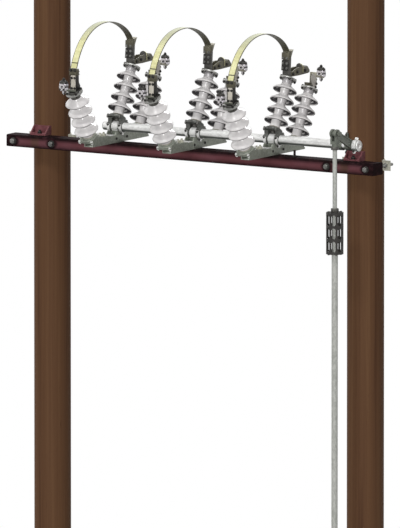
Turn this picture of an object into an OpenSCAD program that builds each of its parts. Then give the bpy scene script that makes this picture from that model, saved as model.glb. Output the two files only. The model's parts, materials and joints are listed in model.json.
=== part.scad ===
// Two wooden poles joined by a steel crossarm that carries a three-phase rocking air-break switch.
// The origin is the middle of the left pole's foot, at ground level. +X runs to the right pole,
// -Y is the front, where the crossarm and the operating rod are, and +Z is up.

/* [Poles] */
// Diameter of each pole
pole_d = 250; // [200:1:300]
// Height of the poles above the ground
pole_h = 8200; // [8000:10:10000]
// Distance between the axes of the poles
pole_spacing = 2500; // [2300:10:3000]
// Height of the sloping edge round the top of each pole
pole_top_bevel = 22; // [5:1:40]
// Depth of the flat cut into each pole where the crossarm seats
gain_depth = 2; // [1:0.5:6]

/* [Crossarm] */
// Distance of the crossarm's middle below the tops of the poles
arm_drop = 1200; // [1050:10:1800]
// Reach of the crossarm beyond the axis of each pole
arm_overhang = 210; // [185:1:500]
// Height of the crossarm
arm_h = 82; // [70:1:100]
// Depth of the crossarm from front to back
arm_w = 125; // [105:1:140]
// Wall of the crossarm
arm_t = 6; // [4:0.5:10]
// Outer corner radius of the crossarm
arm_corner = 11; // [8:0.5:16]
// Distance of each earth bolt from the axis of its pole
earth_bolt_x = 423; // [380:1:480]
// Height of the earth bolts above the crossarm
earth_bolt_h = 48; // [30:1:60]
// Diameter of the earth bolts
earth_bolt_d = 16; // [10:1:20]

/* [Pole straps and cleats] */
// Height of the strap round the back of each pole
strap_h = 70; // [50:1:90]
// Thickness of the strap
strap_t = 6; // [4:0.5:10]
// Gap between the strap's ears and the pole's axis
strap_relief = 5; // [3:0.5:10]
// Distance of each stud from the pole's axis
stud_x = 154; // [148:1:160]
// Diameter of the studs
stud_d = 20; // [16:1:24]
// Thickness of the washers under the studs' nuts
stud_washer_t = 5; // [3:0.5:6]
// Length of thread that stands out behind the strap's nuts
stud_tail = 62; // [20:1:90]
// Diameter of the hole in the back of the strap
strap_hole_d = 24; // [14:1:30]
// Width of the cleat on top of the crossarm
cleat_w = 125; // [90:1:140]
// Height of the cleat
cleat_h = 62; // [40:1:68]
// Reach of the cleat in front of the pole
cleat_reach = 60; // [40:1:75]
// Thickness of the cleat's sole, back and side ribs
cleat_t = 10; // [6:0.5:14]

/* [Switch bases] */
// Distance between neighbouring phases
phase_pitch = 623; // [560:1:680]
// Width of each base channel
base_w = 70; // [60:1:80]
// Height of the side walls in front of the crossarm
base_h = 52; // [40:1:56]
// Height of the cheeks before and behind the rocking shaft
cheek_h = 76; // [60:1:80]
// Height of the side walls at their rear tip
tip_h = 9; // [6:1:16]
// Thickness of the base channel's plate
base_t = 5; // [4:0.5:8]
// Reach of the base channel in front of the rocking shaft
base_front = 355; // [330:1:380]
// Reach of the base channel behind the rocking shaft
base_rear = 347; // [330:1:380]
// Distance of the front insulator's foot in front of the rocking shaft
front_foot_y = 353; // [330:1:380]
// Distance of the rear insulator's foot behind the rocking shaft
rear_foot_y = 275; // [260:1:290]
// Height of the fixed insulators' feet above the crossarm
foot_rise = 63; // [60:1:72]
// Width of the square seat under each insulator
seat_w = 112; // [100:1:124]
// Thickness of the seats
seat_t = 8; // [5:0.5:12]
// Thickness of the round foot under each insulator
foot_t = 12; // [8:1:16]

/* [Insulators] */
// Lean of the insulators from upright, in degrees
lean = 29; // [24:1:32]
// Diameter of the sheds
shed_d = 166; // [140:1:180]
// Distance from one shed to the next
shed_pitch = 76; // [70:1:80]
// Number of sheds
shed_n = 4; // [3:1:5]
// Diameter of the porcelain trunk
trunk_d = 60; // [50:1:70]
// Height of the lowest shed's rim above the foot
first_shed = 60; // [54:1:70]
// Height from the top shed's rim to the metal cap
neck_l = 72; // [66:1:84]
// Diameter of the metal cap and foot
cap_d = 118; // [100:1:130]
// Thickness of the metal cap
cap_t = 25; // [18:1:32]

/* [Rocking shaft] */
// Outer diameter of the rocking shaft
shaft_d = 60; // [50:1:64]
// Wall of the rocking shaft
shaft_t = 4; // [3:0.5:6]
// Height of the shaft's axis above the crossarm
shaft_rise = 102; // [100:1:120]
// Reach of the shaft beyond the left phase
shaft_overhang = 97; // [80:1:130]
// Width of the shaft's bearings
bearing_w = 44; // [30:1:48]
// Wall of the bearings and clamps round the shaft
collar_t = 7; // [5:0.5:8]
// Distance of the rocking insulator's axis in front of the shaft's axis
rocker_offset = 25; // [10:1:32]
// Height of the rocking insulator's foot above the shaft's axis
rocker_rise = 52; // [51:0.5:60]
// Distance of each rocker clamp from the middle of its phase
clamp_x = 43; // [41:1:50]
// Width of each rocker clamp
clamp_w = 30; // [20:1:34]

/* [Crank] */
// Length of the crank from the shaft's axis to its pin
crank_l = 250; // [230:1:300]
// Angle of the crank above level when the switch is closed, in degrees
crank_angle = 25; // [20:1:35]
// Thickness of the crank
crank_t = 18; // [12:1:24]
// Outer radius of the crank's hub
crank_hub_r = 36; // [34:0.5:38]
// Length of the crank's hub
crank_hub_l = 90; // [60:1:110]
// Radius of the crank's end round the pin
crank_end_r = 22; // [18:1:26]
// Diameter of the crank pin
pin_d = 20; // [14:1:24]
// Reach of the pin beyond the crank's middle
pin_reach = 46; // [40:1:60]

/* [Contacts and flexible strips] */
// Width of the strips and contact plates
strip_w = 50; // [40:1:58]
// Thickness of the flexible strip
strip_t = 5; // [3:0.5:8]
// Thickness of the contact plates
plate_t = 8; // [5:0.5:10]
// Height of the bracket that holds the strip's front end
bracket_h = 155; // [120:1:180]
// Height of the clamp that holds the strip's rear end
bar_h = 186; // [150:1:210]
// Thickness of that clamp's block
bar_t = 22; // [16:1:28]
// Height of the strip's arch over its front end
arch_h = 396; // [340:1:440]
// Length of the moving contact's tongue behind its cap
tongue_l = 237; // [225:1:238]
// Height of the moving contact's round blade above its cap
blade_h = 85; // [60:1:96]
// Bore of the conductor clamps
conductor_d = 18; // [12:1:22]
// Diameter of the conductor clamps
line_clamp_d = 66; // [56:1:76]
// Length of the conductor clamps
line_clamp_l = 56; // [40:1:66]

/* [Operating rod] */
// Width of the clevis across its ears
clevis_w = 48; // [42:1:56]
// Length of the clevis below the pin
clevis_l = 90; // [80:1:130]
// Diameter of the upper rod
upper_rod_d = 30; // [26:1:36]
// Diameter of the lower rod
lower_rod_d = 42; // [38:1:46]
// Wall of both rods
rod_t = 3.5; // [2.5:0.5:5]
// Diameter of the cage coupling
cage_d = 117; // [100:1:130]
// Length of the cage coupling
cage_l = 282; // [240:1:320]
// Distance of the cage's top below the crossarm's middle
cage_drop = 281; // [240:1:340]
// Wall of the cage
cage_t = 8; // [5:0.5:12]
// Height of the rod's hand grip above the ground
grip_z = 1250; // [1100:10:1500]
// Length of the hand grip
grip_l = 320; // [240:5:380]
// Diameter of the hand grip
grip_d = 34; // [28:1:38]
// Height of the lower rod guide above the ground
low_guide_z = 2300; // [2000:10:3000]
// Height of the upper rod guide above the ground
high_guide_z = 4450; // [4000:10:5500]
// Height of the guides' bars
guide_h = 50; // [30:1:70]
// Thickness of the guides' bars
guide_t = 8; // [5:0.5:10]
// Room round the rod in its guides
guide_gap = 6; // [5:0.5:10]

/* [Hidden] */
$fn = 48;
pole_r = pole_d / 2;
arm_z = pole_h - arm_drop;
mid_x = pole_spacing / 2;
arm_y = -(pole_r - gain_depth + arm_w / 2);
arm_front = arm_y - arm_w / 2;
deck_z = arm_z + arm_h / 2;
hub_gap = 6;
clamp_fit = 0.1;
run_fit = 0.05;
shaft_r = shaft_d / 2;
collar_r = shaft_r + collar_t;
shaft_y = -(pole_r + hub_gap + crank_hub_r);
shaft_z = deck_z + shaft_rise;
trunk_r = trunk_d / 2;
boss_t = foot_t + seat_t;
ins_l = first_shed + (shed_n - 1) * shed_pitch + neck_l;
ins_top = ins_l + cap_t;
crank_x = pole_spacing;
pin_y = shaft_y - crank_l * cos(crank_angle);
pin_z = shaft_z + crank_l * sin(crank_angle);
cage_top = arm_z - cage_drop;
cage_plate = 1.5 * cage_t;

function phase_x(i) = mid_x + (i - 2) * phase_pitch;

// Points in a phase are (front to back, up) from the shaft's axis. This one is out along a
// leaning axis and side across it. dir is 1 for an axis that leans back, -1 for one to the front.
function leaned(foot, dir, out, side = 0) = [
    foot[0] + dir * (out * sin(lean) + side * cos(lean)),
    foot[1] + out * cos(lean) - side * sin(lean)
];

front_foot = [-front_foot_y, foot_rise - shaft_rise];
rear_foot = [rear_foot_y, foot_rise - shaft_rise];
rock_foot = leaned([0, 0], 1, rocker_rise, -rocker_offset);
front_top = leaned(front_foot, -1, ins_top);
rear_top = leaned(rear_foot, 1, ins_top);
rock_top = leaned(rock_foot, 1, ins_top);
front_clamp = front_top + [-1.06 * cap_d, 0.365 * cap_d];
rear_clamp = rear_top + [1.24 * cap_d, 0.685 * cap_d];
strip_start = front_top + [0, bracket_h];
strip_end = rock_top + [-1.3 * bar_t, bar_h];

// A curve through two end points, pulled towards two others, and the direction across it
function curve(p, t) =
    pow(1 - t, 3) * p[0] + 3 * pow(1 - t, 2) * t * p[1] + 3 * (1 - t) * t * t * p[2] + pow(t, 3) * p[3];
function across_curve(p, t) =
    let (d = curve(p, min(1, t + 0.001)) - curve(p, max(0, t - 0.001)))
    [-d[1], d[0]] / norm(d);

module at_phase(i) {
    translate([phase_x(i), shaft_y, shaft_z]) children();
}

module leaning(foot, dir) {
    translate([0, foot[0], foot[1]]) rotate([-dir * lean, 0, 0]) children();
}

// A drawing of (front to back, up) becomes a plate of width w, centred on x = 0
module across(w) {
    rotate([90, 0, 90]) translate([0, 0, -w / 2]) linear_extrude(w) children();
}

// A pair of such plates, t thick, whose outer faces are w apart
module cheeks(w, t) {
    for (sx = [-1, 1]) translate([sx * (w - t) / 2, 0, 0]) across(t) children();
}

// A flat bar drawn from point p to point q
module bar(p, q, t) {
    run = q - p;
    translate(p) rotate(atan2(run[1], run[0])) translate([0, -t / 2]) square([norm(run), t]);
}

// A ribbon of thickness t along a curve
module ribbon(p, t, steps) {
    polygon(concat(
        [for (k = [0 : steps]) curve(p, k / steps) + across_curve(p, k / steps) * t / 2],
        [for (k = [steps : -1 : 0]) curve(p, k / steps) - across_curve(p, k / steps) * t / 2]
    ));
}

module rounded_rect(w, h, r) {
    square([w - 2 * r, h], center = true);
    square([w, h - 2 * r], center = true);
    for (sx = [-1, 1], sy = [-1, 1]) translate([sx * (w / 2 - r), sy * (h / 2 - r)]) circle(r);
}

// A hexagonal nut on the axis -Y with its seat at y = 0
module nut(d) {
    rotate([90, 0, 0]) cylinder(d = 1.75 * d, h = 0.8 * d, $fn = 6);
}

module pole(x) {
    color([0.33, 0.22, 0.15])
    difference() {
        translate([x, 0, 0]) {
            cylinder(d = pole_d, h = pole_h - pole_top_bevel, $fn = 72);
            translate([0, 0, pole_h - pole_top_bevel])
                cylinder(d1 = pole_d, d2 = pole_d - 2 * pole_top_bevel, h = pole_top_bevel, $fn = 72);
        }
        translate([x - pole_d, -2 * pole_r, arm_z - arm_h / 2])
            cube([2 * pole_d, pole_r + gain_depth, arm_h]);
    }
}

// A closed box section, drilled for the strap studs, with an earth bolt near each pole
module crossarm() {
    length = pole_spacing + 2 * arm_overhang;
    bolt_setback = arm_corner + 0.8 * earth_bolt_d;
    color([0.36, 0.16, 0.18])
    translate([mid_x, arm_y, arm_z])
    difference() {
        across(length) rounded_rect(arm_w, arm_h, arm_corner);
        across(length - 2 * arm_t) rounded_rect(arm_w - 2 * arm_t, arm_h - 2 * arm_t, arm_corner - arm_t);
        for (px = [-mid_x, mid_x], sx = [-1, 1])
            translate([px + sx * stud_x, 0, 0]) rotate([90, 0, 0])
                cylinder(d = 1.05 * stud_d, h = 2 * arm_w, center = true);
    }
    color([0.2, 0.2, 0.2])
    for (x = [earth_bolt_x, pole_spacing - earth_bolt_x])
        translate([x, arm_front + bolt_setback, deck_z - arm_t]) {
            cylinder(d = earth_bolt_d, h = arm_t + earth_bolt_h);
            cylinder(d = 1.75 * earth_bolt_d, h = arm_t + 0.8 * earth_bolt_d, $fn = 6);
        }
}

// A casting on the crossarm's top that bears against the pole: a sole, a hollowed back and a
// sloping rib at each side, so that the crossarm can't roll under the switch
module cleat(x) {
    toe = -pole_r - cleat_reach;
    heel = -pole_r / 2;
    crest = -pole_r - cleat_t;
    slope = [[toe, 0], [toe, cleat_t], [crest, cleat_h], [heel, cleat_h], [heel, 0]];
    color([0.5, 0.2, 0.24])
    translate([x, 0, deck_z]) difference() {
        union() {
            across(cleat_w) polygon([[toe, 0], [toe, cleat_t], [heel, cleat_t], [heel, 0]]);
            across(cleat_w) polygon([[crest, 0], [crest, cleat_h], [heel, cleat_h], [heel, 0]]);
            cheeks(cleat_w, cleat_t) polygon(slope);
        }
        translate([0, 0, -cleat_t]) cylinder(r = pole_r + clamp_fit, h = cleat_h + 2 * cleat_t, $fn = 72);
    }
}

// A half band behind the pole, bent out into two ears
module strap(x) {
    ear_x = stud_x + 1.75 * stud_d;
    root_x = pole_r - strap_t;
    color([0.58, 0.58, 0.53])
    translate([x, 0, arm_z - strap_h / 2])
    difference() {
        union() {
            intersection() {
                cylinder(r = pole_r + clamp_fit + strap_t, h = strap_h, $fn = 72);
                translate([-pole_d, strap_relief, 0]) cube([2 * pole_d, pole_d, strap_h]);
            }
            for (side = [0, 1]) mirror([side, 0, 0]) translate([root_x, strap_relief, 0])
                cube([ear_x - root_x, strap_t, strap_h]);
        }
        translate([0, 0, -strap_t]) cylinder(r = pole_r + clamp_fit, h = strap_h + 2 * strap_t, $fn = 72);
        for (sx = [-1, 1]) translate([sx * stud_x, 0, strap_h / 2]) rotate([-90, 0, 0])
            cylinder(d = 1.05 * stud_d, h = 4 * strap_t + strap_relief);
        translate([0, 0, strap_h / 2]) rotate([-90, 0, 0]) cylinder(d = strap_hole_d, h = pole_d);
    }
}

module studs(x) {
    nut_h = 0.8 * stud_d;
    back = strap_relief + strap_t;
    front = arm_front - stud_washer_t - 1.5 * nut_h;
    color([0.45, 0.45, 0.45])
    for (sx = [-1, 1]) translate([x + sx * stud_x, 0, arm_z]) {
        translate([0, front, 0]) rotate([-90, 0, 0]) cylinder(d = stud_d, h = back + nut_h + stud_tail - front);
        translate([0, arm_front, 0]) rotate([90, 0, 0]) cylinder(d = 2.3 * stud_d, h = stud_washer_t);
        translate([0, arm_front - stud_washer_t, 0]) nut(stud_d);
        translate([0, strap_relief, 0]) nut(stud_d);
        translate([0, back + nut_h, 0]) nut(stud_d);
    }
}

// Each side wall has a cheek before and behind the shaft, a round saddle cut between them, and
// two inclined shoulders under the seats of the fixed insulators
module base_side() {
    bottom = -shaft_rise;
    saddle_r = collar_r + 6;
    cheek_y = 1.6 * saddle_r;
    difference() {
        polygon([
            [-base_front, bottom],
            leaned(front_foot, -1, -seat_t, 0),
            leaned(front_foot, -1, -seat_t, -seat_w / 2),
            [-base_front + 1.1 * seat_w, bottom + base_h],
            [arm_front - shaft_y, bottom + base_h],
            [-cheek_y, bottom + cheek_h],
            [cheek_y, bottom + cheek_h],
            leaned(rear_foot, 1, -4 * seat_t, -0.8 * seat_w),
            leaned(rear_foot, 1, -seat_t, -seat_w / 2),
            leaned(rear_foot, 1, -seat_t, 0.4 * seat_w),
            [base_rear, bottom + tip_h],
            [base_rear, bottom]
        ]);
        circle(saddle_r);
    }
}

// A square seat with rounded corners and the round metal foot of an insulator on it
module foot() {
    translate([0, 0, -seat_t]) linear_extrude(seat_t) rounded_rect(seat_w, seat_w, seat_w / 8);
    rotate_extrude() polygon([
        [0, 0], [cap_d / 2, 0], [cap_d / 2, 0.75 * foot_t], [cap_d / 2 - foot_t / 4, foot_t],
        [1.4 * trunk_r, foot_t], [1.27 * trunk_r, boss_t], [0, boss_t]
    ]);
}

module base_channel(i) {
    color([0.52, 0.54, 0.5])
    at_phase(i) {
        difference() {
            across(base_w) base_side();
            across(base_w - 2 * base_t) translate([-2 * base_front, -shaft_rise + base_t])
                square([4 * base_front, 2 * shaft_rise]);
        }
        leaning(front_foot, -1) foot();
        leaning(rear_foot, 1) foot();
    }
}

// A pedestal with a bored head, standing on a seat at height -drop below the bore
module pedestal(w, drop) {
    foot_half = 1.3 * collar_r;
    sole = 10;
    neck = collar_r - 6;
    difference() {
        union() {
            rotate([0, 90, 0]) cylinder(r = collar_r, h = w, center = true);
            across(w) polygon([
                [-foot_half, -drop], [foot_half, -drop], [foot_half, sole - drop], [neck, 3 * sole - drop],
                [neck, 0], [-neck, 0], [-neck, 3 * sole - drop], [-foot_half, sole - drop]
            ]);
        }
        rotate([0, 90, 0]) cylinder(r = shaft_r + run_fit, h = 2 * w, center = true);
    }
}

module shaft_bearing(i) {
    color([0.42, 0.43, 0.4])
    at_phase(i) pedestal(bearing_w, shaft_rise - base_t);
}

// A bored eye for the shaft's end, held by a pad that bears against the right pole
module end_bearing() {
    w = 0.7 * bearing_w;
    x = crank_x - 0.68 * pole_r;
    neck = collar_r - 6;
    spread = 1.3 * collar_r;
    pad_r = pole_r + clamp_fit + 10;
    pad_h = 3 * spread;
    pad_left = crank_x - 0.9 * pole_r;
    pad_right = crank_x - cleat_w / 2 - 4;
    color([0.42, 0.43, 0.4])
    translate([0, 0, shaft_z]) difference() {
        union() {
            translate([x, shaft_y, 0]) {
                rotate([0, 90, 0]) cylinder(r = collar_r, h = w, center = true);
                across(w) polygon([[0, -neck], [0.7 * -shaft_y, -spread], [0.7 * -shaft_y, spread], [0, neck]]);
            }
            intersection() {
                translate([crank_x, 0, 0]) cylinder(r = pad_r, h = pad_h, center = true, $fn = 72);
                translate([pad_left, -pole_d, -pad_h / 2]) cube([pad_right - pad_left, pole_d, pad_h]);
            }
        }
        translate([crank_x, 0, 0]) cylinder(r = pole_r + clamp_fit, h = 2 * pad_h, center = true, $fn = 72);
        translate([x, shaft_y, 0]) rotate([0, 90, 0]) cylinder(r = shaft_r + run_fit, h = 2 * w, center = true);
    }
}

// One shed in (radius, height): a ribbed underside, a round rim and a bell-shaped top
function shed(h) = let (r = shed_d / 2, root = trunk_r + 4, rise = 0.68 * shed_pitch) concat(
    [[root, h + 15], [0.52 * r, h + 13], [0.62 * r, h + 6], [0.68 * r, h + 6], [0.74 * r, h + 10],
     [r - 9, h + 5], [r - 5, h], [r - 1.5, h + 1.5]],
    [for (u = [0 : 1 / 9 : 1.001]) [trunk_r + (r - trunk_r) * (1 + cos(180 * pow(u, 0.85))) / 2, h + 6 + rise * u]]
);

// Porcelain from the foot's boss to the cap, along +Z
module insulator() {
    color([0.86, 0.85, 0.87])
    rotate_extrude($fn = 72) polygon(concat(
        [[0, boss_t], [1.27 * trunk_r, boss_t], [1.13 * trunk_r, 0.77 * first_shed]],
        [for (i = [0 : shed_n - 1]) each shed(first_shed + i * shed_pitch)],
        [[trunk_r, ins_l], [0, ins_l]]
    ));
}

module front_insulator(i) {
    at_phase(i) leaning(front_foot, -1) insulator();
}

module rear_insulator(i) {
    at_phase(i) leaning(rear_foot, 1) insulator();
}

module moving_insulator(i) {
    at_phase(i) leaning(rock_foot, 1) insulator();
}

// The metal cap on top of an insulator
module cap() {
    r = cap_d / 2;
    translate([0, 0, ins_l]) rotate_extrude() polygon([
        [0, 0], [trunk_r + 7, 0], [trunk_r + 12, 8], [r - 4, 10], [r, 14], [r, cap_t - 3], [r - 3, cap_t], [0, cap_t]
    ]);
}

// A bored clamp for the line conductor, with four lobes, a stud on top and a round nut
module line_clamp() {
    lobe_r = line_clamp_d / 5;
    nut_d = 0.6 * line_clamp_d;
    difference() {
        union() {
            rotate([90, 0, 0]) cylinder(d = 0.76 * line_clamp_d, h = line_clamp_l, center = true);
            for (a = [45 : 90 : 315]) rotate([90, a, 0]) translate([line_clamp_d / 2 - lobe_r, 0, 0])
                cylinder(r = lobe_r, h = 0.86 * line_clamp_l, center = true);
            cylinder(d = 0.4 * nut_d, h = line_clamp_d / 2 + 0.7 * nut_d);
            translate([0, 0, line_clamp_d / 2 - 4]) cylinder(d = nut_d, h = 0.5 * nut_d);
        }
        rotate([90, 0, 0]) cylinder(d = conductor_d, h = 2 * line_clamp_l, center = true);
    }
}

// The bracket that holds the strip's front end, on the front insulator's cap
module front_terminal(i) {
    block_h = 0.28 * bracket_h;
    depth = 0.8 * strip_w;
    color([0.42, 0.41, 0.33])
    at_phase(i) {
        leaning(front_foot, -1) cap();
        translate([0, front_top[0], front_top[1]]) {
            across(strip_w) polygon([
                [-plate_t, -plate_t], [0, -plate_t], [0, bracket_h - block_h], [-plate_t, bracket_h - block_h]
            ]);
            cheeks(strip_w, plate_t / 2 + 1) polygon([
                [-plate_t, -plate_t], [0.36 * cap_d, 0.2 * cap_d - plate_t], [0.36 * cap_d, 0.32 * cap_d],
                [depth - plate_t, bracket_h - block_h], [-plate_t, bracket_h - block_h]
            ]);
            across(strip_w + 6) translate([-plate_t - 2, bracket_h - block_h - 1]) square([depth - plate_t, block_h]);
            across(strip_w) bar([0, 0], front_clamp - front_top + [0, -0.3 * line_clamp_d], 1.4 * plate_t);
        }
        translate([0, front_clamp[0], front_clamp[1]]) line_clamp();
    }
}

// The fixed contact on the rear insulator's cap: a leaf-shaped guide plate at one side, an upright
// and a bar that carries the conductor clamp
module rear_contact(i) {
    guide_t = plate_t - 2;
    upright_foot = [0.3 * cap_d, -0.2 * cap_d];
    upright_top = [0.41 * cap_d, 0.86 * cap_d];
    color([0.42, 0.41, 0.33])
    at_phase(i) {
        leaning(rear_foot, 1) cap();
        translate([0, rear_top[0], rear_top[1]]) {
            translate([strip_w / 2 + guide_t / 2, 0, 0]) across(guide_t) polygon(cap_d * [
                [0.07, -0.08], [0.27, -0.19], [0.33, 0.12], [0.35, 0.34], [0.32, 0.53], [0.22, 0.69],
                [0.05, 0.8], [-0.07, 0.83], [-0.19, 0.8], [-0.26, 0.72], [-0.3, 0.56], [-0.26, 0.39], [-0.12, 0.2]
            ]);
            across(strip_w) {
                bar(upright_foot, upright_top, plate_t + 2);
                bar(upright_top - [0, 3 * plate_t], rear_clamp - rear_top - [0, 0.36 * line_clamp_d], 1.4 * plate_t);
                bar([-0.3 * cap_d, 0.13 * cap_d], [0.28 * cap_d, -0.1 * cap_d], 2 * plate_t);
            }
        }
        translate([0, rear_clamp[0], rear_clamp[1]]) line_clamp();
    }
}

// The moving contact: a clamp bar for the strip, two jaw plates with a tongue between them and a
// round-topped blade
module moving_contact(i) {
    bar_foot = [-1.1 * bar_t, plate_t];
    bar_top = [-0.7 * bar_t, bar_h];
    blade_y = 0.6 * tongue_l;
    blade_r = 0.54 * strip_w;
    front_plate = bar_top - [0.5 * bar_t + 1.5 * strip_t + plate_t / 2, 2 * strip_t];
    color([0.42, 0.41, 0.33])
    at_phase(i) {
        leaning(rock_foot, 1) cap();
        translate([0, rock_top[0], rock_top[1]]) {
            across(strip_w + 4) {
                bar(bar_foot, bar_top, bar_t);
                bar(bar_top + [bar_t / 4, -strip_t], bar_top + [1.8 * bar_t, strip_t], strip_t);
                bar(bar_foot + [-bar_t / 2 - 1.5 * strip_t - plate_t / 2, bar_h / 4], front_plate, plate_t);
            }
            for (k = [0.38, 0.6, 0.82], sx = [-1, 1]) translate([sx * strip_w / 3, -1.5 * bar_t, k * bar_h])
                rotate([90, 0, 0]) cylinder(d = plate_t, h = 1.2 * bar_t, center = true);
            cheeks(strip_w, plate_t) polygon([
                [-bar_t, 1.2 * plate_t], [0.4 * tongue_l, plate_t], [0.9 * tongue_l, 1.5 * plate_t],
                [tongue_l - 4, 2.2 * plate_t], [tongue_l - 4, 4 * plate_t], [0.87 * tongue_l, 7.6 * plate_t],
                [0.34 * tongue_l, 8 * plate_t], [0.1 * tongue_l, 5.6 * plate_t], [-bar_t, 5 * plate_t]
            ]);
            across(strip_w - plate_t) polygon([
                [0.34 * tongue_l, 1.7 * plate_t], [tongue_l, 2.5 * plate_t],
                [tongue_l, 4.2 * plate_t], [0.34 * tongue_l, 6 * plate_t]
            ]);
            translate([0, blade_y, 0]) rotate([90, 0, 0]) linear_extrude(plate_t, center = true) {
                translate([0, blade_h - blade_r]) circle(blade_r);
                translate([-blade_r, blade_h / 3]) square([2 * blade_r, 2 * blade_h / 3 - blade_r]);
            }
        }
    }
}

// The strip is stored in the arch that it takes with the switch closed
module flexible_strip(i) {
    arch = [
        strip_start + [0, strip_t / 3],
        strip_start + [0.36 * arch_h, arch_h],
        strip_end + [-0.24 * arch_h, 0.41 * arch_h],
        strip_end + [0, strip_t / 3]
    ];
    color([0.86, 0.84, 0.58])
    at_phase(i) across(strip_w) ribbon(arch, strip_t, 40);
}

module rocking_shaft() {
    left = phase_x(1) - shaft_overhang;
    length = crank_x + crank_hub_l / 2 - left;
    color([0.8, 0.8, 0.8])
    translate([left, shaft_y, shaft_z]) rotate([0, 90, 0]) difference() {
        cylinder(d = shaft_d, h = length, $fn = 64);
        translate([0, 0, -shaft_d]) cylinder(d = shaft_d - 2 * shaft_t, h = length + 2 * shaft_d, $fn = 64);
    }
}

// Two clamps grip the shaft and carry the seat of the moving insulator
module rocker(i) {
    seat_z = rocker_rise - seat_t;
    color([0.4, 0.41, 0.4])
    at_phase(i) {
        leaning(rock_foot, 1) foot();
        for (sx = [-1, 1]) translate([sx * clamp_x, 0, 0]) rotate([-lean, 0, 0]) difference() {
            union() {
                rotate([0, 90, 0]) cylinder(r = collar_r, h = clamp_w, center = true);
                across(clamp_w) polygon([
                    [-collar_r, 0], [collar_r, 0], [collar_r, seat_z / 2], [collar_r - 4, seat_z + seat_t / 2],
                    [-rocker_offset - seat_w / 4, seat_z + seat_t / 2], [-collar_r, seat_z / 2]
                ]);
            }
            rotate([0, 90, 0]) cylinder(r = shaft_r + clamp_fit, h = 2 * clamp_w, center = true);
        }
    }
}

// A forged crank: a long hub, an end eye and an arm whose web is thinner than its edges
module crank() {
    root_r = crank_hub_r - 6;
    rim = 8;
    web_t = crank_t / 2;
    pocket_from = crank_hub_r + rim;
    pocket_to = crank_l - crank_end_r - rim;
    head_x = (clevis_w + pin_d) / 2;
    color([0.5, 0.5, 0.48])
    translate([crank_x, shaft_y, shaft_z]) difference() {
        union() {
            rotate([0, 90, 0]) cylinder(r = crank_hub_r, h = crank_hub_l, center = true);
            across(crank_t) rotate(180 - crank_angle) {
                translate([crank_l, 0]) circle(crank_end_r);
                polygon([[0, -root_r], [crank_l, -crank_end_r], [crank_l, crank_end_r], [0, root_r]]);
            }
        }
        rotate([0, 90, 0]) cylinder(r = shaft_r + clamp_fit, h = 2 * crank_hub_l, center = true);
        for (sx = [-1, 1]) translate([sx * (crank_t + web_t) / 2, 0, 0]) across(crank_t)
            rotate(180 - crank_angle) polygon([
                [pocket_from, rim - root_r], [pocket_to, rim - crank_end_r],
                [pocket_to, crank_end_r - rim], [pocket_from, root_r - rim]
            ]);
    }
    color([0.6, 0.6, 0.6])
    translate([crank_x, pin_y, pin_z]) rotate([0, 90, 0]) {
        translate([0, 0, -head_x]) cylinder(d = pin_d, h = head_x + pin_reach);
        translate([0, 0, -head_x]) cylinder(d = 1.6 * pin_d, h = 0.4 * pin_d);
        translate([0, 0, pin_reach - 0.7 * pin_d]) cylinder(d = 1.75 * pin_d, h = 0.7 * pin_d, $fn = 6);
    }
}

module rod_clevis() {
    ear_r = 0.62 * clevis_w;
    body_y = 0.84 * clevis_w;
    slot = crank_t + 2;
    slot_l = crank_end_r + 1.4 * pin_d;
    color([0.45, 0.46, 0.43])
    translate([crank_x, pin_y, pin_z]) difference() {
        union() {
            rotate([0, 90, 0]) cylinder(r = ear_r, h = clevis_w, center = true);
            translate([-clevis_w / 2, -body_y / 2, -0.8 * clevis_l]) cube([clevis_w, body_y, 0.8 * clevis_l]);
            translate([0, 0, -clevis_l]) cylinder(d = clevis_w - 6, h = clevis_l / 2);
        }
        translate([-slot / 2, -2 * ear_r, -slot_l]) cube([slot, 4 * ear_r, 2 * slot_l]);
        rotate([0, 90, 0]) cylinder(d = pin_d + 2 * run_fit, h = 2 * clevis_w, center = true);
    }
}

module tube(d, z0, z1) {
    translate([crank_x, pin_y, z0]) difference() {
        cylinder(d = d, h = z1 - z0);
        translate([0, 0, -d]) cylinder(d = d - 2 * rod_t, h = z1 - z0 + 2 * d);
    }
}

module upper_rod() {
    color([0.58, 0.58, 0.55]) tube(upper_rod_d, cage_top - cage_l + cage_plate, pin_z - clevis_l);
}

module lower_rod() {
    color([0.6, 0.6, 0.6]) tube(lower_rod_d, grip_z, cage_top - cage_l);
}

// A round cage with three tiers of windows between its bars, and two end plates
module rod_cage() {
    tiers = 3;
    bars = 8;
    ring_h = 2 * cage_t;
    step = (cage_l - ring_h) / tiers;
    window_w = 0.26 * cage_d;
    window_h = step - ring_h - window_w;
    color([0.12, 0.11, 0.1])
    translate([crank_x, pin_y, cage_top - cage_l]) {
        difference() {
            cylinder(d = cage_d, h = cage_l);
            translate([0, 0, cage_plate]) cylinder(d = cage_d - 2 * cage_t, h = cage_l - 2 * cage_plate);
            translate([0, 0, cage_l / 2]) cylinder(d = upper_rod_d + 2 * clamp_fit, h = cage_l);
            for (k = [0 : tiers - 1], a = [0 : bars - 1])
                rotate((a + 0.5) * 360 / bars) translate([0, 0, ring_h + k * step + window_w / 2]) {
                    rotate([0, 90, 0]) cylinder(d = window_w, h = cage_d);
                    translate([0, -window_w / 2, 0]) cube([cage_d, window_w, window_h]);
                    translate([0, 0, window_h]) rotate([0, 90, 0]) cylinder(d = window_w, h = cage_d);
                }
        }
    }
}

// A cross handle with a socket for the rod's end
module hand_grip() {
    socket_d = lower_rod_d + 12;
    color([0.15, 0.15, 0.15])
    translate([crank_x, pin_y, grip_z]) difference() {
        union() {
            translate([0, 0, -grip_d / 2]) rotate([0, 90, 0]) cylinder(d = grip_d, h = grip_l, center = true);
            translate([0, 0, -grip_d]) cylinder(d = socket_d, h = 2 * grip_d);
        }
        cylinder(d = lower_rod_d + 2 * clamp_fit, h = 2 * grip_d);
    }
}

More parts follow.
